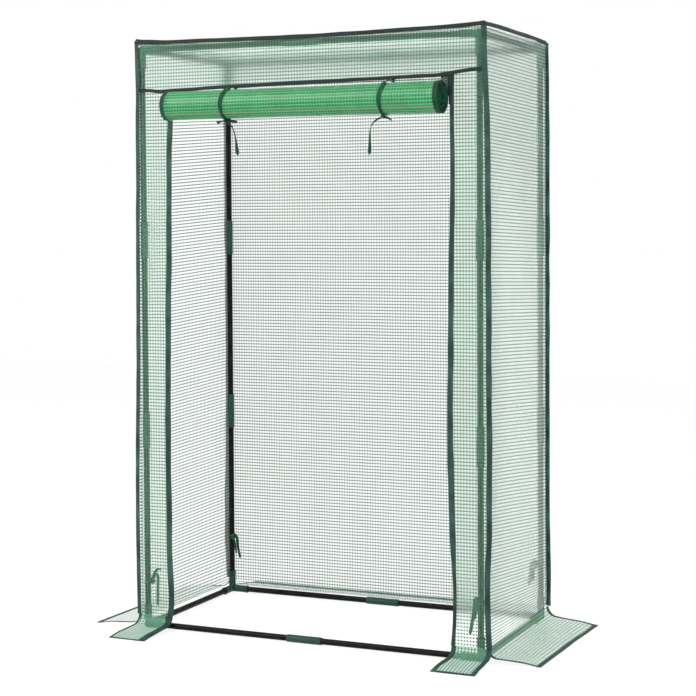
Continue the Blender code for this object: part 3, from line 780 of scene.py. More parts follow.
def roll_material(film):
    """Many turns of film: the outer threads over the green of all that lies under them. The cells between the
    threads are darkened: partly the green of the deeper turns, partly painted shade between the turns.
    """
    tree, shader = new_material("rolled_grid_film")
    where = coordinates(tree, "UV")
    threads = film_threads(tree, film, where)
    under = node(tree, "ShaderNodeMapping", {"Vector": where, "Location": (0.0031, 0.0052, 0.0)}).outputs[0]
    deeper = film_threads(tree, film, under)
    clouds = noise_on(tree, where, 14.0, 3.0)
    pale = tinted(film.roll_colour, 1.35, 0.012)
    worn = blend_colour(tree, ramp(tree, clouds, 0.3, 0.7), pale, tinted(pale, 1.25))
    shade = sum_of(tree, "MULTIPLY", deeper["Threads"], 0.55)
    # Painted shade and the green of the deeper turns: the cells drop to a fifth of the roll colour, and are
    # lifted where the deeper threads lie.
    deep_cells_with_shade = blend_colour(tree, shade, tinted(film.roll_colour, 0.22), film.roll_colour)
    lattice = blend_colour(tree, threads["Threads"], deep_cells_with_shade, worn)
    # A pale olive stripe along the roll, at one place along its length.
    along = node(tree, "ShaderNodeSeparateXYZ", {"Vector": where}).outputs["Y"]
    off_stripe = sum_of(tree, "ABSOLUTE", sum_of(tree, "SUBTRACT", along, ROLL_STRIPE))
    stripe = ramp(tree, off_stripe, 0.0010, 0.0040, 0.45, 0.0)
    colour = blend_colour(tree, stripe, lattice, (0.30, 0.30, 0.17))
    height = sum_of(tree, "MULTIPLY_ADD", noise_on(tree, where, 40.0, 2.0), 0.8, threads["Height"])
    roughness = ramp(tree, clouds, 0.3, 0.7, 0.22, 0.36)
    finish_shader(tree, shader, colour, roughness, height, 0.0006, specular=0.25)
    feed(tree, shader, {"Coat Weight": 0.12, "Coat Roughness": 0.18})


def tape_material(name, colour, stitch_line=0.0046, lift=1.8):
    """Woven tape with a row of stitches at each edge, rubbed darker and paler in patches."""
    tree, shader = new_material(name)
    sewn = use_group(tree, "sewn_tape", {"Map": coordinates(tree, "UV"), "Stitch Line": stitch_line})
    place = coordinates(tree, "Object")
    grain = use_group(tree, "rubbed_grain", {"Place": place, "Patch Scale": 16.0, "Grain Scale": 900.0})
    rubbed = blend_colour(tree, grain["Patches"], tinted(colour, 0.6), tinted(colour, lift, 0.004))
    ribs = sum_of(tree, "MULTIPLY", sewn["Ribs"], 0.35)
    ribbed = blend_colour(tree, ribs, rubbed, tinted(colour, 0.55))
    stitches = sum_of(tree, "MULTIPLY", sewn["Stitches"], 0.8)
    stitched = blend_colour(tree, stitches, ribbed, tinted(colour, 1.8, 0.006))
    height = sum_of(tree, "MULTIPLY_ADD", grain["Grain"], 0.3, sewn["Height"])
    roughness = ramp(tree, grain["Patches"], 0.0, 1.0, 0.55, 0.72)
    finish_shader(tree, shader, stitched, roughness, height, 0.0004, specular=0.2)


def hard_material(name, colour, rubbed, share, scales, roughness, depth, specular):
    """A smooth hard finish, rubbed in patches. scales are of its patches and of its grain."""
    tree, shader = new_material(name)
    inputs = {"Place": coordinates(tree, "Object"), "Patch Scale": scales[0], "Grain Scale": scales[1]}
    grain = use_group(tree, "rubbed_grain", inputs)
    worn = blend_colour(tree, sum_of(tree, "MULTIPLY", grain["Patches"], share), colour, rubbed)
    roughness = ramp(tree, grain["Patches"], 0.0, 1.0, *roughness)
    finish_shader(tree, shader, worn, roughness, grain["Grain"], depth, specular=specular)


# Lines of the cover


def looseness(z):
    """How free a wall is at a height: not at all at its fold and its top seam."""
    return ease((z - FOLD_HEIGHT) / 0.10) * ease((TOP_AXIS - z) / 0.05)


def film_corner(side, z):
    """Where the front film meets a side film: the inner edge of the tape along the seam, clear of the post."""
    if side < 0:
        return min(read(FRONT_LEFT_SEAM, z) + SEAM_INSET, -FILM_LEFT)
    return max(read(FRONT_RIGHT_SEAM, z) - SEAM_INSET, FILM_RIGHT)


def back_corner(side, z):
    """Where the back film meets a side film."""
    return side * max(read(BACK_SEAMS[side], z) - SEAM_INSET, FILM_LEFT if side < 0 else FILM_RIGHT)


def front_y(x, z):
    """The front film, which eases forward between its seams."""
    return -FILM_Y - looseness(z) * (WALL_BULGE + wander(x, z, 2.0, WALL_BULGE, grain=5.0))


def side_x(side, y, z):
    """A side film, from its front seam, which stands off the frame lower down, to its back seam."""
    front, back = film_corner(side, z), back_corner(side, z)
    free = looseness(z) * ease((FILM_Y - abs(y)) / 0.06)
    level = mix(front, back, (y + FILM_Y) / (2 * FILM_Y))
    return level + side * free * (SIDE_BULGE + wander(y, z, 5.0 + side, SIDE_BULGE, grain=4.0))


def back_y(x, z):
    return FILM_Y + looseness(z) * (WALL_BULGE + wander(x, z, 9.0, WALL_BULGE, grain=4.0))


def top_of_side(y):
    return read(TOP_SIDE_LINE, y) - SEAM_DROP


def top_of_front(x):
    return read(TOP_FRONT_LINE, x) - SEAM_DROP


def roof_z(x, y):
    """The roof film, which drops from its four seams onto the tubes and sags a little between them."""
    inside = TOP_AXIS + TUBE_RADIUS + 0.0010 - 0.0030 * (1 - (x / FILM_X) ** 2) * (1 - (y / FILM_Y) ** 2)
    ends = mix(top_of_front(x), BACK_TOP - SEAM_DROP, ease((y + FILM_Y) / (2 * FILM_Y)))
    level = mix(inside, ends, (abs(y) / FILM_Y) ** 12)
    level = mix(level, top_of_side(y), min(abs(x) / FILM_X, 1.0) ** 24)
    return level + wander(x, y, 12.0, 0.0006, grain=6.0)


def flap_section(distance):
    """(out, height) of a flap at a distance down the cloth from the fold."""
    angle = min(distance, FLAP_BEND_LENGTH) / FLAP_BEND_RADIUS
    flat = max(distance - FLAP_BEND_LENGTH, 0.0)
    out = FLAP_BEND_RADIUS * (1 - math.cos(angle)) + flat * math.cos(FLAP_SLOPE)
    height = FOLD_HEIGHT - FLAP_BEND_RADIUS * math.sin(angle) - flat * math.sin(FLAP_SLOPE)
    return out, height + FLAP_LIFT


# Operators


class GREENHOUSE_OT_stage(bpy.types.Operator):
    """Sets the floor, the soft studio light and the camera at the photograph's viewing place"""

    bl_idname = "greenhouse.stage"
    bl_label = "Stage"

    def execute(self, context):
        studio = context.scene.greenhouse_studio
        self.add_camera(context)
        self.add_floor(studio)
        self.add_world(context, studio)
        self.add_lamp(context, "key", (-2.6, -3.2, 3.4), (0, 0, 0.7), 3.0, studio.key_light)
        self.add_lamp(context, "fill", (3.6, -1.6, 2.2), (0, 0, 0.8), 2.5, studio.fill_light)
        context.scene.view_settings.view_transform = "Standard"
        return {"FINISHED"}

    def add_camera(self, context):
        level = math.cos(CAMERA_PITCH)
        forward = Vector((math.sin(CAMERA_YAW) * level, math.cos(CAMERA_YAW) * level, math.sin(CAMERA_PITCH)))
        right = Vector((math.cos(CAMERA_YAW), -math.sin(CAMERA_YAW), 0.0))
        up = right.cross(forward)
        c, s = math.cos(CAMERA_ROLL), math.sin(CAMERA_ROLL)
        rolled_right, rolled_up = right * c + up * s, up * c - right * s
        data = bpy.data.cameras.new("camera")
        data.lens = CAMERA_LENS
        data.sensor_width = CAMERA_SENSOR
        data.shift_y = CAMERA_SHIFT
        camera = bpy.data.objects.new("camera", data)
        context.scene.collection.objects.link(camera)
        turn = Matrix((rolled_right, rolled_up, -forward)).transposed().to_4x4()
        camera.matrix_world = Matrix.Translation(CAMERA_PLACE) @ turn
        context.scene.camera = camera

    def add_floor(self, studio):
        deselect()
        bpy.ops.mesh.primitive_plane_add(size=1.0)
        floor = just_added("floor")
        edit_all()
        bpy.ops.transform.resize(value=(14.0, 14.0, 1.0))
        bpy.ops.object.mode_set(mode="OBJECT")
        tree, shader = new_material("pale_floor")
        grain = noise_on(tree, coordinates(tree, "Object"), 4.0, 3.0)
        pale, seen = studio.floor_colour, seen_directly(tree)
        worn = blend_colour(tree, ramp(tree, grain, 0.3, 0.7), pale, tinted(pale, 1.03))
        colour = blend_colour(tree, seen, worn, tinted(pale, 0.3))
        finish_shader(tree, shader, colour, 0.7, specular=0.0)
        glow = sum_of(tree, "MULTIPLY", seen, 0.82)
        feed(tree, shader, {"Emission Color": (1.0, 1.0, 1.0, 1.0), "Emission Strength": glow})
        floor.data.materials.append(bpy.data.materials["pale_floor"])

    def add_world(self, context, studio):
        world = bpy.data.worlds.new("studio")
        context.scene.world = world
        world.use_nodes = True
        tree = world.node_tree
        strength = ramp(tree, seen_directly(tree), 0.0, 1.0, studio.world_light, 1.0, smooth=False)
        feed(tree, tree.nodes["Background"], {"Color": (1.0, 1.0, 1.0, 1.0), "Strength": strength})

    def add_lamp(self, context, name, place, target, size, power):
        data = bpy.data.lights.new(name, "AREA")
        data.shape = "SQUARE"
        data.size = size
        data.energy = power
        lamp = bpy.data.objects.new(name, data)
        context.scene.collection.objects.link(lamp)
        aim = (Vector(target) - Vector(place)).to_track_quat("-Z", "Y").to_matrix().to_4x4()
        lamp.matrix_world = Matrix.Translation(place) @ aim


def roll_radius(x):
    """The roll is a little looser towards its right end."""
    return ROLL_RADIUS + 0.0026 * ease((x - 0.02) / 0.40)


def roll_y(x):
    return ROLL_Y + ROLL_RADIUS - roll_radius(x)


def knot_place(x):
    """The middle of a bow's knot, which is half sunk into the tape under the roll."""
    return Vector((x, roll_y(x), ROLL_Z - roll_radius(x) - TIE_THICKNESS - KNOT_SIZE[2]))


def tail_half_width(share):
    """A tail is twisted thin, flares before its end and is cut to a point."""
    body = 0.0026 + 0.0021 * ease((share - 0.62) / 0.25)
    return max(body * (1 - ease((share - 0.93) / 0.07)), 0.0003)


class GREENHOUSE_OT_tie_tails(bpy.types.Operator):
    """Adds the two long tails that hang from the bows under the rolled door"""

    bl_idname = "greenhouse.tie_tails"
    bl_label = "Tie Tails"

    def execute(self, context):
        for side, x in TIE_PLACES.items():
            knot = knot_place(x)
            route, length = smooth_route([knot + Vector(point) for point in TAIL_ROUTES[side]], ROUTE_STEP)
            tail = strip_along(
                f"tie_tail_{side}_tape", route, tail_half_width, 0.0011, lambda share: 0.3 + 2.6 * share
            )
            dress(tail, "tie_cloth", [f"tie_tail_{side}"])
            flatten_tie(tail)
        return {"FINISHED"}


def flatten_tie(piece):
    """Gives a tie piece its own copy of its mesh."""
    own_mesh(piece)


class GREENHOUSE_OT_post_bows(bpy.types.Operator):
    """Adds the tapes that tie the cover to the posts near the ground"""

    bl_idname = "greenhouse.post_bows"
    bl_label = "Post Bows"

    # Post, height of the knot, the way the bow faces, and the routes of its ends seen from the knot
    BOWS = {
        "front_left": (
            (POST_X["left"], -POST_Y),
            0.128,
            (0.75, 0.66),
            [
                [(0.0, 0.0, 0.0), (0.002, 0.001, 0.009), (0.006, 0.002, 0.017), (0.0115, 0.003, 0.0195),
                 (0.016, 0.003, 0.015), (0.0172, 0.0025, 0.006), (0.0172, 0.002, -0.006),
                 (0.0172, 0.0015, -0.02), (0.0172, 0.001, -0.036), (0.0172, 0.001, -0.052),
                 (0.0172, 0.001, -0.068)],
                [(0.0, 0.0, 0.0), (0.003, 0.001, 0.012), (0.007, 0.002, 0.023), (0.013, 0.003, 0.031),
                 (0.02, 0.003, 0.034), (0.027, 0.003, 0.031)],
            ],
        ),
        "front_right": (
            (POST_X["right"], -POST_Y),
            0.148,
            (-0.75, 0.66),
            [
                [(0.0, 0.0, 0.0), (-0.0018, 0.001, 0.007), (-0.006, 0.002, 0.0105), (-0.0102, 0.002, 0.007),
                 (-0.0118, 0.002, -0.003), (-0.013, 0.002, -0.016), (-0.015, 0.0015, -0.032),
                 (-0.0178, 0.001, -0.05), (-0.0208, 0.0005, -0.066), (-0.024, 0.0, -0.082)],
                [(0.0, 0.0, -0.002), (-0.004, 0.001, -0.01), (-0.008, 0.001, -0.024),
                 (-0.012, 0.0, -0.044)],
            ],
        ),
        "back_left": (
            (POST_X["left"], POST_Y),
            0.168,
            (0.65, -0.76),
            [
                [(0.0, 0.0, 0.0), (0.009, -0.002, 0.006), (0.016, -0.003, -0.006), (0.018, -0.003, -0.026),
                 (0.022, -0.003, -0.046), (0.026, -0.003, -0.062)],
                [(0.0, 0.0, -0.002), (0.006, -0.002, -0.01), (0.01, -0.003, -0.028),
                 (0.013, -0.003, -0.05)],
            ],
        ),
        "back_right": (
            (POST_X["right"], POST_Y),
            0.160,
            (-0.65, -0.76),
            [
                [(0.0, 0.0, 0.0), (-0.009, -0.002, 0.006), (-0.016, -0.003, -0.006),
                 (-0.018, -0.003, -0.026), (-0.021, -0.003, -0.046), (-0.024, -0.003, -0.06)],
                [(0.0, 0.0, -0.002), (-0.006, -0.002, -0.01), (-0.01, -0.003, -0.028),
                 (-0.012, -0.003, -0.05)],
            ],
        ),
    }

    def execute(self, context):
        for place, (post, height, facing, routes) in self.BOWS.items():
            facing = Vector((*facing, 0.0)).normalized()
            knot = Vector((*post, height)) + facing * (TUBE_RADIUS + BOW_GAP)
            band = self.add_band(f"post_bow_{place}_band", post, height)
            knob = add_knot(f"post_bow_{place}_knot", knot, BOW_KNOT_SIZE)
            for piece in (band, knob):
                dress(piece, "tie_cloth")
            for n, (points, half) in enumerate(zip(routes, BOW_END_HALVES)):
                route, length = smooth_route([knot + Vector(point) for point in points], ROUTE_STEP)
                end = strip_along(
                    f"post_bow_{place}_end_{n + 1}",
                    route,
                    lambda share: half * (1 - 0.6 * ease((share - 0.95) / 0.05)),
                    BOW_HALF_THICKNESS,
                    lambda share: 0.1 + 0.2 * share,
                )
                dress(end, "tie_cloth")
        return {"FINISHED"}

    def add_band(self, name, post, height):
        """A tape wound once round the post."""
        stations = []
        for n in range(ROUND_SIDES + 1):
            share = n / ROUND_SIDES
            angle = 2 * math.pi * share
            out = Vector((math.cos(angle), math.sin(angle), 0.0))
            lift = 0.004 * math.cos(angle) - 0.003 * share
            centre = Vector((*post, height + lift)) + out * (TUBE_RADIUS + TIE_THICKNESS + 0.0004 * share)
            stations.append((centre, Vector((0, 0, BOW_END_HALVES[0])), out * BOW_HALF_THICKNESS))
        return tape(name, stations)


def add_knot(name, place, size):
    """A pulled knot: a sphere pinched and creased where the tape passes over itself."""
    deselect()
    bpy.ops.mesh.primitive_uv_sphere_add(segments=24, ring_count=14, radius=1.0)
    piece = just_added(name)
    edit_all()
    bpy.ops.transform.resize(value=size)
    bpy.ops.object.mode_set(mode="OBJECT")
    for vertex in piece.data.vertices:
        x, y, z = (vertex.co[n] / size[n] for n in range(3))
        long_crease = 0.20 * math.exp(-((x + 0.45 * z) / 0.16) ** 2)
        short_crease = 0.14 * math.exp(-((x - 0.5 - 0.2 * z) / 0.12) ** 2)
        pinch = (1 - long_crease - short_crease) * (1 + 0.08 * math.sin(7 * z + 3 * x))
        vertex.co = Vector(place) + vertex.co * pinch
    bpy.ops.object.shade_smooth()
    return piece


def laid_along(axis):
    """Turns a piece modelled along Z so that it lies along another axis."""
    return AXES[axis].to_track_quat("Z", "Y").to_matrix().to_4x4()


def straight(name):
    """Half the length of a straight node, and the matrix that lays a piece modelled along Z over it."""
    low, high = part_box(name)
    size = high - low
    axis = max(range(3), key=lambda n: size[n])
    return size[axis] / 2, Matrix.Translation((low + high) / 2) @ laid_along(axis)


def mirrored(outline):
    """A profile of (radius, distance from the middle), run along both halves."""
    return outline + [(radius, -height) for radius, height in outline[::-1]]


class GREENHOUSE_OT_tubes(bpy.types.Operator):
    """Adds the coated steel tubes of the frame, with their rolled hollow ends"""

    bl_idname = "greenhouse.tubes"
    bl_label = "Tubes"

    def execute(self, context):
        lip = 0.0006
        bore = TUBE_RADIUS - TUBE_WALL
        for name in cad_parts:
            if not (name.startswith("bar_") or "_section_" in name) or "coupler" in name:
                continue
            half, matrix = straight(name)
            outside = mirrored([(TUBE_RADIUS - lip, half), (TUBE_RADIUS, half - lip)])
            model = turned("tube", outside + [(bore, -half), (bore, half)])
            bpy.ops.object.shade_smooth_by_angle(angle=math.radians(35))
            dress(copied(model, f"{name}_tube", matrix), "coated_tube", [name])
            forget(model)
        return {"FINISHED"}


class GREENHOUSE_OT_couplers(bpy.types.Operator):
    """Adds the plastic sleeves that join the tubes end to end"""

    bl_idname = "greenhouse.couplers"
    bl_label = "Couplers"

    def execute(self, context):
        half, _ = straight("bar_top_front_coupler")
        edge = 0.0005
        shoulder = edge * 0.6
        outside = mirrored(
            [
                (FITTING_RADIUS - 2 * edge, half),
                (FITTING_RADIUS - shoulder, half - shoulder),
                (FITTING_RADIUS, half - 2 * edge),
            ]
        )
        inside = mirrored([(FITTING_BORE + edge, half), (FITTING_BORE, half - edge)])
        model = turned("coupler", outside + inside[::-1])
        bpy.ops.object.shade_smooth_by_angle(angle=math.radians(40))
        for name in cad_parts:
            if "coupler" in name:
                sleeve = copied(model, f"{name}_sleeve", straight(name)[1])
                dress(sleeve, "moulded_green_plastic", [name])
        forget(model)
        return {"FINISHED"}


class GREENHOUSE_OT_corners(bpy.types.Operator):
    """Adds the three-way corner fittings: one modelled with its sockets, the others copied from it"""

    bl_idname = "greenhouse.corners"
    bl_label = "Corner Fittings"

    def execute(self, context):
        base = self.model_corner("base_corner", flat_sole=True)
        top = self.model_corner("top_corner", flat_sole=False)
        for level, side_z, model in (("base", -1, base), ("top", 1, top)):
            for end, side_y in (("front", -1), ("back", 1)):
                for side, side_x in (("left", -1), ("right", 1)):
                    name = f"corner_{level}_{end}_{side}"
                    fitting = copied(model, f"{name}_fitting", self.matrix(side_x, side_y, side_z))
                    dress(fitting, "moulded_green_plastic", [name])
        forget(base)
        forget(top)
        return {"FINISHED"}

    def matrix(self, side_x, side_y, side_z):
        """Turns a corner fitting so that its sockets point inwards from the corner on these sides."""
        x, y, z = -side_x, -side_y, -side_z
        if x * y * z > 0:
            turn = Matrix(((x, 0, 0), (0, y, 0), (0, 0, z)))
        else:
            turn = Matrix(((0, x, 0), (y, 0, 0), (0, 0, z)))
        height = TOP_AXIS if side_z > 0 else BASE_AXIS
        post = POST_X["left" if side_x < 0 else "right"]
        return Matrix.Translation((post, side_y * POST_Y, height)) @ turn.to_4x4()

    def model_corner(self, name, flat_sole):
        edge = 0.0006
        neck = SOCKET_REACH - RIM_LENGTH
        arm_profile = [
            (FITTING_RADIUS, 0.0),
            (FITTING_RADIUS, neck - edge),
            (FITTING_RADIUS + edge / 2, neck - edge / 4),
            (RIM_RADIUS, neck + edge),
            (RIM_RADIUS, SOCKET_REACH - edge),
            (RIM_RADIUS - edge, SOCKET_REACH),
        ]
        deselect()
        bpy.ops.mesh.primitive_uv_sphere_add(segments=ROUND_SIDES, ring_count=20, radius=RIM_RADIUS - 0.0001)
        fitting = just_added(name)
        arm = turned("arm", arm_profile, ring=False)
        bore = turned("bore", [(FITTING_BORE, SOCKET_STOP), (FITTING_BORE, SOCKET_REACH + 0.004)], ring=False)
        helpers = []
        for operation, model in (("UNION", arm), ("DIFFERENCE", bore)):
            for axis in range(3):
                helper = copied(model, f"{operation}_helper", laid_along(axis))
                cut = fitting.modifiers.new(operation, "BOOLEAN")
                cut.operation = operation
                cut.solver = "EXACT"
                cut.object = helper
                helpers.append(helper)
        deselect()
        fitting.select_set(True)
        bpy.context.view_layer.objects.active = fitting
        for cut in list(fitting.modifiers):
            bpy.ops.object.modifier_apply(modifier=cut.name)
        for helper in (*helpers, arm, bore):
            forget(helper)
        edit_all()
        if flat_sole:
            bpy.ops.mesh.bisect(
                plane_co=(0, 0, -BASE_AXIS), plane_no=(0, 0, 1), use_fill=True, clear_inner=True
            )
            bpy.ops.mesh.select_all(action="SELECT")
        close_shell(CORNER_MERGE, fill=False)
        bpy.ops.object.shade_smooth_by_angle(angle=math.radians(32))
        return fitting


def stretch(film, both_faces=False):
    """Adds a film's milky sheet, and a second lot of threads where both faces are seen."""
    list(frosted(film, both_faces))


class GREENHOUSE_OT_side_walls(bpy.types.Operator):
    """Adds the film of the left and right walls and the tapes at their seams"""

    bl_idname = "greenhouse.side_walls"
    bl_label = "Side Walls"

    # Name, side, film, and the tape of the back seam
    WALLS = (
        ("left", -1, "inner_grid_film", "binding_cloth"),
        # The right wall's back seam tape is a paler copy of the binding: painted light on a tape that faces
        # away from the lamps.
        ("right", 1, "loose_grid_film", "pale_binding_cloth"),
    )

    def execute(self, context):
        for name, side, film, back_tape in self.WALLS:

            def place(along_wall, rise):
                y = side * along_wall
                z = mix(FOLD_HEIGHT, top_of_side(y), rise)
                lean = read(LEVEL_THREAD_LEAN[side], z) * (y + FILM_Y) / (2 * FILM_Y)
                return Vector((side_x(side, y, z), y, z)), (along_wall + SIDE_SHIFT, z + lean)

            columns, rows = evenly(-FILM_Y, FILM_Y, SHEET_STEP), evenly(0.0, 1.0, RISE_STEP)
            wall = dress(cloth(f"{name}_wall_film", columns, rows, place), film, [f"{name}_panel"])
            back = [
                Vector((side * read(BACK_SEAMS[side], z), back_y(side * FILM_RIGHT, z) + SEAM_GAP, z))
                for z in evenly(FOLD_HEIGHT + 0.001, BACK_TOP, TAPE_STEP)
            ]
            top = [
                Vector((side_x(side, y, TOP_AXIS) + side * SIDE_GAP, y, read(TOP_SIDE_LINE, y)))
                for y in evenly(-FILM_Y - 0.001, FILM_Y + 0.001, TAPE_STEP)
            ]
            tapes = [
                edge_tape(f"seam_{edge}_{name}", points, facing, half_width, material, seed=seed + side)
                for edge, points, facing, half_width, material, seed in (
                    ("back", back, (side * 0.45, 1, 0), 0.0084, back_tape, 23.0),
                    ("top", top, (side, 0, 0.55), 0.0070, "dark_binding_cloth", 33.0),
                )
            ]
            stretch(wall, both_faces=side < 0)
        return {"FINISHED"}


class GREENHOUSE_OT_back_wall(bpy.types.Operator):
    """Adds the film of the back wall and the tape at its upper seam"""

    bl_idname = "greenhouse.back_wall"
    bl_label = "Back Wall"

    def execute(self, context):
        def place(share, rise):
            z = mix(FOLD_HEIGHT, BACK_TOP - SEAM_DROP, rise)
            x = mix(back_corner(1, z), back_corner(-1, z), share)
            return Vector((x, back_y(x, z), z)), (BACK_SHIFT - x, z)

        wall = cloth("back_wall_film", evenly(0.0, 1.0, SHARE_STEP), evenly(0.0, 1.0, RISE_STEP), place)
        dress(wall, "inner_grid_film", ["back_panel"])
        points = [
            Vector((x, FILM_Y + TOP_GAP, BACK_TOP + wander(x, 0.0, 41.0, 0.0012, 5.0)))
            for x in evenly(FILM_RIGHT + 0.002, -FILM_LEFT - 0.002, TAPE_STEP)
        ]
        seam = edge_tape("seam_top_back", points, (0, 1, 0.55), 0.0060, "binding_cloth", seed=43.0)
        stretch(wall, both_faces=True)
        return {"FINISHED"}


class GREENHOUSE_OT_roof(bpy.types.Operator):
    """Adds the film of the roof, which sags a little between the top tubes"""

    bl_idname = "greenhouse.roof"
    bl_label = "Roof"

    def execute(self, context):
        def place(share, y):
            x = mix(side_x(-1, y, TOP_AXIS), side_x(1, y, TOP_AXIS), share)
            return Vector((x, y, roof_z(x, y))), (x + ROOF_SHIFT, y)

        shares = [0.0, 0.006, 0.014, 0.024, *evenly(0.04, 0.96, SHARE_STEP), 0.976, 0.986, 0.994, 1.0]
        rows = [-FILM_Y, -0.254, -0.246, *evenly(-0.235, 0.235, SHEET_STEP), 0.246, 0.254, FILM_Y]
        roof = dress(cloth("roof_film", shares, rows, place), "clear_grid_film", ["roof_panel"])
        stretch(roof)
        return {"FINISHED"}


def on_front(x, z, gap=0.0):
    """A point of the front film, or a little way before it."""
    return Vector((x, front_y(x, z) - gap, z))


class GREENHOUSE_OT_front_wall(bpy.types.Operator):
    """Adds the header over the doorway, the strip down each side of it, and their sewn edges"""

    bl_idname = "greenhouse.front_wall"
    bl_label = "Front Wall"

    def execute(self, context):
        def place(share, rise):
            z = mix(1.47, 1.60, rise)
            x = mix(film_corner(-1, z), film_corner(1, z), share)
            z = mix(read(HEADER_LINE, x), top_of_front(x), rise)
            return on_front(x, z), (x, z)

        header = cloth("header_film", evenly(0.0, 1.0, SHARE_STEP), evenly(0.0, 1.0, 0.125), place)
        dress(header, "clear_grid_film", ["front_panel"])
        top = [
            Vector((x, -FILM_Y - TOP_GAP, read(TOP_FRONT_LINE, x) + wander(x, 0.0, 51.0, 0.0006, 8.0)))
            for x in evenly(-0.501, 0.500, TAPE_STEP)
        ]
        low = [on_front(x, read(HEADER_LINE, x), HEM_GAP) for x in evenly(-0.494, 0.501, TAPE_STEP)]
        tapes = [
            edge_tape("seam_top_front", top, (0, -1, 0.35), 0.0058, "dark_binding_cloth", seed=53.0),
            edge_tape("header_hem", low, (0, -1, 0.25), 0.0050, "dark_binding_cloth", seed=57.0),
        ]
        stretch(header)
        self.add_strip("left", -1, FRONT_LEFT_SEAM, STRIP_LEFT_LINE)
        self.add_strip("right", 1, FRONT_RIGHT_SEAM, STRIP_RIGHT_LINE)
        return {"FINISHED"}

    def add_strip(self, name, side, seam_line, door_line):
        def across(share, z):
            ends = (film_corner(side, z), read(door_line, z))
            return mix(*(ends if side < 0 else ends[::-1]), share)

        def place(share, rise):
            z = mix(FOLD_HEIGHT, read(HEADER_LINE, across(share, 1.47)), rise)
            x = across(share, z)
            return on_front(x, z), (x, z)

        strip = cloth(f"strip_film_{name}", evenly(0.0, 1.0, 0.15), evenly(0.0, 1.0, 0.0133), place)
        dress(strip, "clear_grid_film")
        foot, door_top = FOLD_HEIGHT + 0.0005, read(HEADER_LINE, read(door_line, 1.45))
        door = [on_front(read(door_line, z), z, HEM_GAP) for z in evenly(foot, door_top, TAPE_STEP)]
        seam = [on_front(read(seam_line, z), z, SEAM_GAP) for z in evenly(foot, 1.6035, TAPE_STEP)]
        widths = {"share_of_width": partial(read, HEM_WIDTHS[side])}
        tapes = [
            edge_tape(f"doorway_hem_{name}", door, (0, -1, 0), 0.0086, "binding_cloth", 65.0 + side, **widths),
            edge_tape(f"seam_front_{name}", seam, (side * 0.30, -1, 0), 0.0072, "binding_cloth", 67.0 + side),
        ]
        if side > 0:
            tapes.append(self.add_corner_patch())
        stretch(strip)

    def add_corner_patch(self):
        """The dark cloth that strengthens the doorway's corner beside the end of the roll."""
        heights = evenly(1.404, 1.4785, TAPE_STEP)
        route = [on_front(read(CORNER_PATCH_LINE, z), z, PATCH_GAP) for z in heights]
        return edge_tape(
            "doorway_corner_patch",
            route,
            (0, -1, 0),
            0.0070,
            "dark_binding_cloth",
            seed=69.0,
            half_thickness=0.0010,
            share_of_width=partial(read, CORNER_PATCH_WIDTHS),
        )


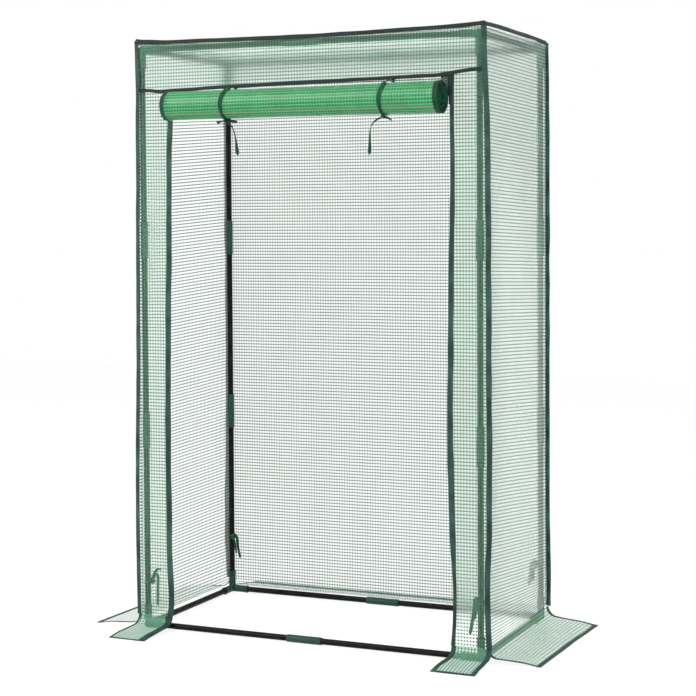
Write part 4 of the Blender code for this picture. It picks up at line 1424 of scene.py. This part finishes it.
class GREENHOUSE_OT_flaps(bpy.types.Operator):
    """Adds the ground flaps, which fold outwards from the foot of each wall"""

    bl_idname = "greenhouse.flaps"
    bl_label = "Ground Flaps"

    FILMS = {"right": "mint_grid_film", "front_left": "sea_grid_film", "front_right": "sea_grid_film"}

    def execute(self, context):
        seam_left, seam_right, door_left, door_right = (
            read(line, FOLD_HEIGHT)
            for line in (FRONT_LEFT_SEAM, FRONT_RIGHT_SEAM, STRIP_LEFT_LINE, STRIP_RIGHT_LINE)
        )
        # Name, way out, ends of the fold and of the hem, reaches, half widths of its tapes, shift of its map
        flaps = [
            ("front_left", (0, -1), (seam_left - 0.001, door_left + 0.006), (-0.526, -0.418), (0.131, 0.133),
             (0.0030, 0.0112, 0.0036), 0.0),
            ("front_right", (0, -1), (door_right - 0.003, seam_right + 0.005), (0.394, 0.511), (0.122, 0.124),
             (0.0066, 0.0068, 0.0056), 0.0),
            ("right", (1, 0), (-0.2550, 0.2590), (-0.2410, 0.2410), (0.134, 0.149), (0.0040, 0.0042, 0.0066),
             SIDE_SHIFT),
            ("left", (-1, 0), (-0.2550, 0.2540), (-0.2450, 0.2552), (0.140, 0.139), (0.0022, 0.0022, 0.0038),
             SIDE_SHIFT),
            ("back", (0, 1), (-0.4880, 0.4940), (-0.4420, 0.4820), (0.132, 0.132), (0.0022, 0.0022, 0.0060),
             BACK_SHIFT),
        ]
        for flap in flaps:
            self.add_flap(*flap)
        return {"FINISHED"}

    def add_flap(self, name, out, fold_ends, hem_ends, reaches, halves, shift):
        body = f"flap_{name}"
        out = Vector((*out, 0.0))
        along_wall = Vector((0, 0, 1)).cross(out)
        fold_width, hem_width = (abs(ends[1] - ends[0]) for ends in (fold_ends, hem_ends))

        def lateral(share, distance):
            bend = ease(distance / FLAP_LENGTH) * 0.6 + 0.4 * distance / FLAP_LENGTH
            return mix(mix(*fold_ends, share), mix(*hem_ends, share), bend)

        def point(share, distance):
            position = lateral(share, distance)
            outward, height = flap_section(distance)
            outward *= mix(1.0, mix(*reaches, share) / FLAP_REACH, ease(distance / FLAP_LENGTH))
            if out.y < 0:
                wall = -front_y(position, FOLD_HEIGHT)
            elif out.y > 0:
                wall = back_y(position, FOLD_HEIGHT)
            else:
                wall = abs(side_x(out.x, along_wall.y * position, FOLD_HEIGHT))
                wall += 0.004 * ease(position / FILM_Y)
            lift = ease(distance / 0.05) * ease((FLAP_LENGTH - distance) / 0.05)
            height += lift * (FLAP_WAVE + wander(position, distance, 71.0, FLAP_WAVE, grain=11.0))
            return out * (wall + outward) + along_wall * position + Vector((0, 0, height))

        def place(share, distance):
            spot = (lateral(share, distance) + shift, FOLD_HEIGHT - distance)
            return point(share, distance), (spot[1], spot[0] + 1.0) if out.y < 0 else spot

        shares = evenly(0.0, 1.0, 0.013 / fold_width)
        distances = evenly(FLAP_LENGTH - 0.001, 0.0, 0.006)
        sheet = cloth(f"flap_film_{name}", shares, distances, place)
        dress(sheet, self.FILMS.get(name, "clear_grid_film"), [body], body)
        pieces = []
        for label, half, end in (("first", halves[0], 0.0), ("last", halves[1], 1.0)):
            share = abs(end - half * 0.8 / fold_width)
            route = [point(share, distance) for distance in evenly(EDGE_START, FLAP_LENGTH - 0.004, EDGE_STEP)]
            pieces.append(
                edge_tape(
                    f"{body}_{label}_edge",
                    route,
                    self.facings(point, share),
                    half,
                    "binding_cloth",
                    seed=73.0 + len(name),
                    half_thickness=0.0009,
                    body=body,
                    share_of_width=self.fanned if name == "right" else None,
                )
            )
        hem = [point(share, FLAP_LENGTH - halves[2]) for share in evenly(0.0, 1.0, TAPE_STEP / hem_width)]
        pieces.append(
            edge_tape(
                f"{body}_hem",
                hem,
                (0, 0, 1),
                halves[2],
                "binding_cloth",
                seed=79.0 + len(name),
                half_thickness=0.0011,
                body=body,
            )
        )
        for piece in (sheet, *pieces[:2]):
            piece.parent = None
            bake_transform(piece)

    @staticmethod
    def fanned(height):
        """The tapes of the right flap are gathered on the ground and open out up to the fold."""
        return 1 + 0.8 * ease((height - 0.006) / 0.02)

    @staticmethod
    def facings(point, share):
        """The way an edge tape's face looks at each of its points: square to the flap."""

        def facing(n):
            distance = min(EDGE_START + EDGE_STEP * n, FLAP_LENGTH - 0.008)
            down = point(share, distance + 0.004) - point(share, distance)
            across = point(min(share + 0.02, 1.0), distance) - point(max(share - 0.02, 0.0), distance)
            normal = across.cross(-down)
            return normal if normal.z >= 0 else -normal

        return facing


class GREENHOUSE_OT_door(bpy.types.Operator):
    """Adds the door: the cloth that hangs from the header and the long spiral that the rest is rolled into"""

    bl_idname = "greenhouse.door"
    bl_label = "Rolled Door"

    def execute(self, context):
        self.add_curtain()
        self.add_roll()
        return {"FINISHED"}

    def add_curtain(self):
        foot = ROLL_Z + 0.002
        rises = evenly(0.0, 1.0, 0.1)

        def place(x, rise):
            z = mix(foot, min(read(HEADER_LINE, x), DOOR_TOP + 0.006), rise)
            return Vector((x, -FILM_Y + 0.0001, z)), (x, z)

        curtain = cloth("door_curtain_film", evenly(DOOR_LEFT, DOOR_RIGHT, SHEET_STEP), rises, place)
        dress(curtain, "hanging_grid_film", ["door_curtain"])
        hems = []
        for label, x, half, material in (
            ("left", DOOR_LEFT + 0.008, 0.0085, "binding_cloth"),
            ("right", DOOR_RIGHT - 0.0065, 0.0125, "dark_binding_cloth"),
        ):
            top = read(HEADER_LINE, x) - 0.001
            route = [Vector((x, -FILM_Y + 0.0018, mix(foot, top, rise))) for rise in rises]
            name = f"door_curtain_{label}_hem"
            hems.append(edge_tape(name, route, (0, -1, 0), half, material, 81.0, half_thickness=0.0011))
        for piece in (curtain, *hems):
            piece.parent = None
            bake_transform(piece)

    def add_roll(self):
        core = DOOR_TRAVEL / (math.pi * ROLL_TURNS) - ROLL_RADIUS
        pitch = (ROLL_RADIUS - core) / ROLL_TURNS
        ends = [0.0, 0.004, 0.008, ROLL_BAND, ROLL_BAND + 0.001, 0.03, 0.05]
        right = DOOR_RIGHT + 0.0022
        inner = evenly(DOOR_LEFT + 0.07, right - 0.07, 0.03)
        columns = [DOOR_LEFT + step for step in ends] + inner + [right - step for step in ends[::-1]]

        def place(x, turn):
            angle = -2 * math.pi * turn
            out_of_round = wander(x, math.cos(angle) * 0.3, 91.0 + math.sin(angle), 0.0006, grain=9.0)
            radius = roll_radius(x) - ROLL_PLAY - pitch * turn + out_of_round * (1 - turn / ROLL_TURNS)
            shift = 0.0022 * math.sin(turn * 2.1) if turn > 0.6 else 0.0
            near_end = max(0.0, 1 - min(x - DOOR_LEFT, DOOR_RIGHT - x) / 0.05)
            x += shift * near_end * (-1 if x > 0 else 1) * min(turn, 1.0)
            length = 2 * math.pi * turn * (ROLL_RADIUS - pitch * turn / 2)
            point = Vector((x, roll_y(x) + radius * math.cos(angle), ROLL_Z + radius * math.sin(angle)))
            return point, (x, ROLL_MAP_START - length)

        turns = [n / ROLL_STEPS for n in range(ROLL_TURNS * ROLL_STEPS + 1)]
        roll = dress(
            cloth("door_roll_film", columns, turns, place),
            "rolled_grid_film",
            ["door_roll"],
            "door_roll",
        )
        roll.data.materials.append(bpy.data.materials["roll_edge_cloth"])
        mesh = roll.data
        thick = roll.vertex_groups.new(name="edge")
        for face in mesh.polygons:
            middle = sum(mesh.vertices[n].co.x for n in face.vertices) / len(face.vertices)
            if min(middle - DOOR_LEFT, right - middle) < ROLL_BAND:
                face.material_index = 1
        for vertex in mesh.vertices:
            if min(vertex.co.x - DOOR_LEFT, right - vertex.co.x) < ROLL_BAND + 0.0005:
                thick.add([vertex.index], 1.0, "REPLACE")
        solid = roll.modifiers.new("Thickness", "SOLIDIFY")
        solid.thickness = ROLL_EDGE_THICKNESS
        solid.offset = 0.0
        solid.vertex_group = thick.name
        solid.thickness_vertex_group = 0.3
        bpy.ops.object.modifier_apply(modifier=solid.name)
        bpy.ops.object.shade_smooth_by_angle(angle=CLOTH_ANGLE)
        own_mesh(roll)


class GREENHOUSE_OT_roll_ties(bpy.types.Operator):
    """Adds the tapes that go round the rolled door, with their knots and short ends"""

    bl_idname = "greenhouse.roll_ties"
    bl_label = "Roll Ties"

    def execute(self, context):
        for side, x in TIE_PLACES.items():
            knot = knot_place(x)
            pieces = [self.add_band(side, x), add_knot(f"roll_tie_{side}_knot", knot, KNOT_SIZE)]
            for n, end in enumerate(TIE_ENDS[side]):
                reach = Vector(end)
                bow = Vector((0, 0, 0.0012))
                route, _ = smooth_route([knot, knot + reach * 0.5 + bow, knot + reach], 0.003)
                pieces.append(
                    strip_along(
                        f"roll_tie_{side}_end_{n + 1}",
                        route,
                        lambda share: 0.0032 + 0.0014 * ease((share - 0.5) / 0.4),
                        0.0010,
                        lambda share: 0.6 + 1.2 * share,
                        (0.0, -0.7, 0.7),
                    )
                )
            for piece in pieces:
                dress(piece, "tie_cloth", [f"roll_tie_{side}"] if piece is pieces[0] else ())
                flatten_tie(piece)
        return {"FINISHED"}

    def add_band(self, side, x):
        """Down behind the roll, round under it and up to the header."""
        radius = roll_radius(x) + TIE_CLEARANCE + TIE_THICKNESS / 2
        middle = Vector((x, roll_y(x), ROLL_Z))
        top = read(HEADER_LINE, x) - 0.002
        front = Vector((-FILM_Y - 0.0020 - middle.y, top - ROLL_Z))
        sweep = 2 * math.pi - math.atan2(front.y, front.x) - math.acos(min(radius / front.length, 1.0))
        points = [Vector((x, middle.y + radius, mix(top, ROLL_Z, n / 4))) for n in range(4)]
        for n in range(ROLL_STEPS + 1):
            angle = -sweep * n / ROLL_STEPS
            points.append(middle + Vector((0, math.cos(angle), math.sin(angle))) * radius)
        last, goal = points[-1], Vector((x, middle.y + front.x, top))
        points += [last.lerp(goal, n / 4) for n in range(1, 5)]
        stations = []
        for n, point in enumerate(points):
            across, out = square_to(ahead_at(points, n), point - middle)
            share = n / (len(points) - 1)
            pinch = 1 - 0.35 * math.exp(-(((share - 0.52) / 0.07) ** 2))
            half = TIE_HALF * pinch * (1 + wander(share, 0.0, 95.0, 0.12, grain=14.0))
            lean = 0.004 + 0.006 * ease((point.z - ROLL_Z) / ROLL_RADIUS) + wander(share, x, 97.0, 0.0012)
            stations.append((point + Vector((lean, 0, 0)), across * half, out * TIE_THICKNESS / 2))
        return tape(f"roll_tie_{side}_band", stations)


OPERATORS = (
    GREENHOUSE_OT_stage,
    GREENHOUSE_OT_tie_tails,
    GREENHOUSE_OT_post_bows,
    GREENHOUSE_OT_tubes,
    GREENHOUSE_OT_couplers,
    GREENHOUSE_OT_corners,
    GREENHOUSE_OT_side_walls,
    GREENHOUSE_OT_back_wall,
    GREENHOUSE_OT_roof,
    GREENHOUSE_OT_front_wall,
    GREENHOUSE_OT_flaps,
    GREENHOUSE_OT_door,
    GREENHOUSE_OT_roll_ties,
)


class GREENHOUSE_PT_panel(bpy.types.Panel):
    """Lists the pieces of the greenhouse and its settings"""

    bl_label = "Portable Greenhouse"
    bl_idname = "GREENHOUSE_PT_panel"
    bl_space_type = "VIEW_3D"
    bl_region_type = "UI"
    bl_category = "Greenhouse"

    def draw(self, context):
        layout = self.layout
        for operator in OPERATORS:
            layout.operator(operator.bl_idname)
        for name in GROUPS:
            settings = getattr(context.scene, name)
            box = layout.box()
            for key in settings.bl_rna.properties.keys():
                if key not in ("rna_type", "name"):
                    box.prop(settings, key)


GROUPS = {
    "greenhouse_film": GreenhouseFilm,
    "greenhouse_trim": GreenhouseTrim,
    "greenhouse_frame": GreenhouseFrame,
    "greenhouse_studio": GreenhouseStudio,
}
CLASSES = (*GROUPS.values(), *OPERATORS, GREENHOUSE_PT_panel)


def register():
    for item in CLASSES:
        bpy.utils.register_class(item)
    for name, kind in GROUPS.items():
        setattr(bpy.types.Scene, name, PointerProperty(type=kind))


def unregister():
    for name in GROUPS:
        delattr(bpy.types.Scene, name)
    for item in reversed(CLASSES):
        bpy.utils.unregister_class(item)


def make_materials(scene):
    film, trim, colours = scene.greenhouse_film, scene.greenhouse_trim, scene.greenhouse_frame
    for build in (grid_group, stitch_group, grain_group):
        build()
    # Painted shade: the left and back walls take the darker, greyer thread colour, and the other walls keep the
    # plain one.
    painted_shade_dye, loose = film.painted_shade_thread_colour, (0.11, 0.29, 0.185)
    film_material("clear_grid_film", film, 0.055, 0.085, (0.55, 0.95, 0.68), thread=0.44)
    film_material("inner_grid_film", film, dye=painted_shade_dye, thread=0.44)
    film_material("outer_grid_film", film, dye=painted_shade_dye, thread=0.26, crossing=0.72)
    film_material("loose_grid_film", film, 0.16, 0.34, (0.80, 0.96, 0.90), loose, thread=0.56)
    film_material("mint_grid_film", film, 0.46, 0.62, (0.33, 0.62, 0.44))
    film_material("sea_grid_film", film, 0.42, 0.60, (0.20, 0.46, 0.32), thread=0.92)
    film_material("hanging_grid_film", film, on_object=True)
    frost_material(film)
    roll_material(film)
    tape_material("binding_cloth", trim.colour)
    tape_material("dark_binding_cloth", tinted(trim.colour, 0.30))
    # A paler, greener copy of the binding colour: painted light on the right wall's back seam tape, which faces
    # away from the lamps.
    tape_material("pale_binding_cloth", (0.030, 0.105, 0.078))
    tape_material("roll_edge_cloth", tinted(trim.tie_colour, 0.9))
    tape_material("tie_cloth", trim.tie_colour, 0.0040, lift=1.3)
    tube, fitting = colours.tube_colour, colours.fitting_colour
    scratched = (0.030, 0.031, 0.034)
    hard_material("coated_tube", tube, scratched, 0.25, (60.0, 1400.0), (0.30, 0.45), 0.00015, 0.10)
    paler = tinted(fitting, 1.4, 0.006)
    hard_material("moulded_green_plastic", fitting, paler, 0.5, (80.0, 1900.0), (0.38, 0.55), 0.0002, 0.3)


def main():
    register()
    deselect()
    make_materials(bpy.context.scene)
    for operator in OPERATORS:
        group_name, name = operator.bl_idname.split(".")
        getattr(getattr(bpy.ops, group_name), name)()


if __name__ == "__main__":
    main()
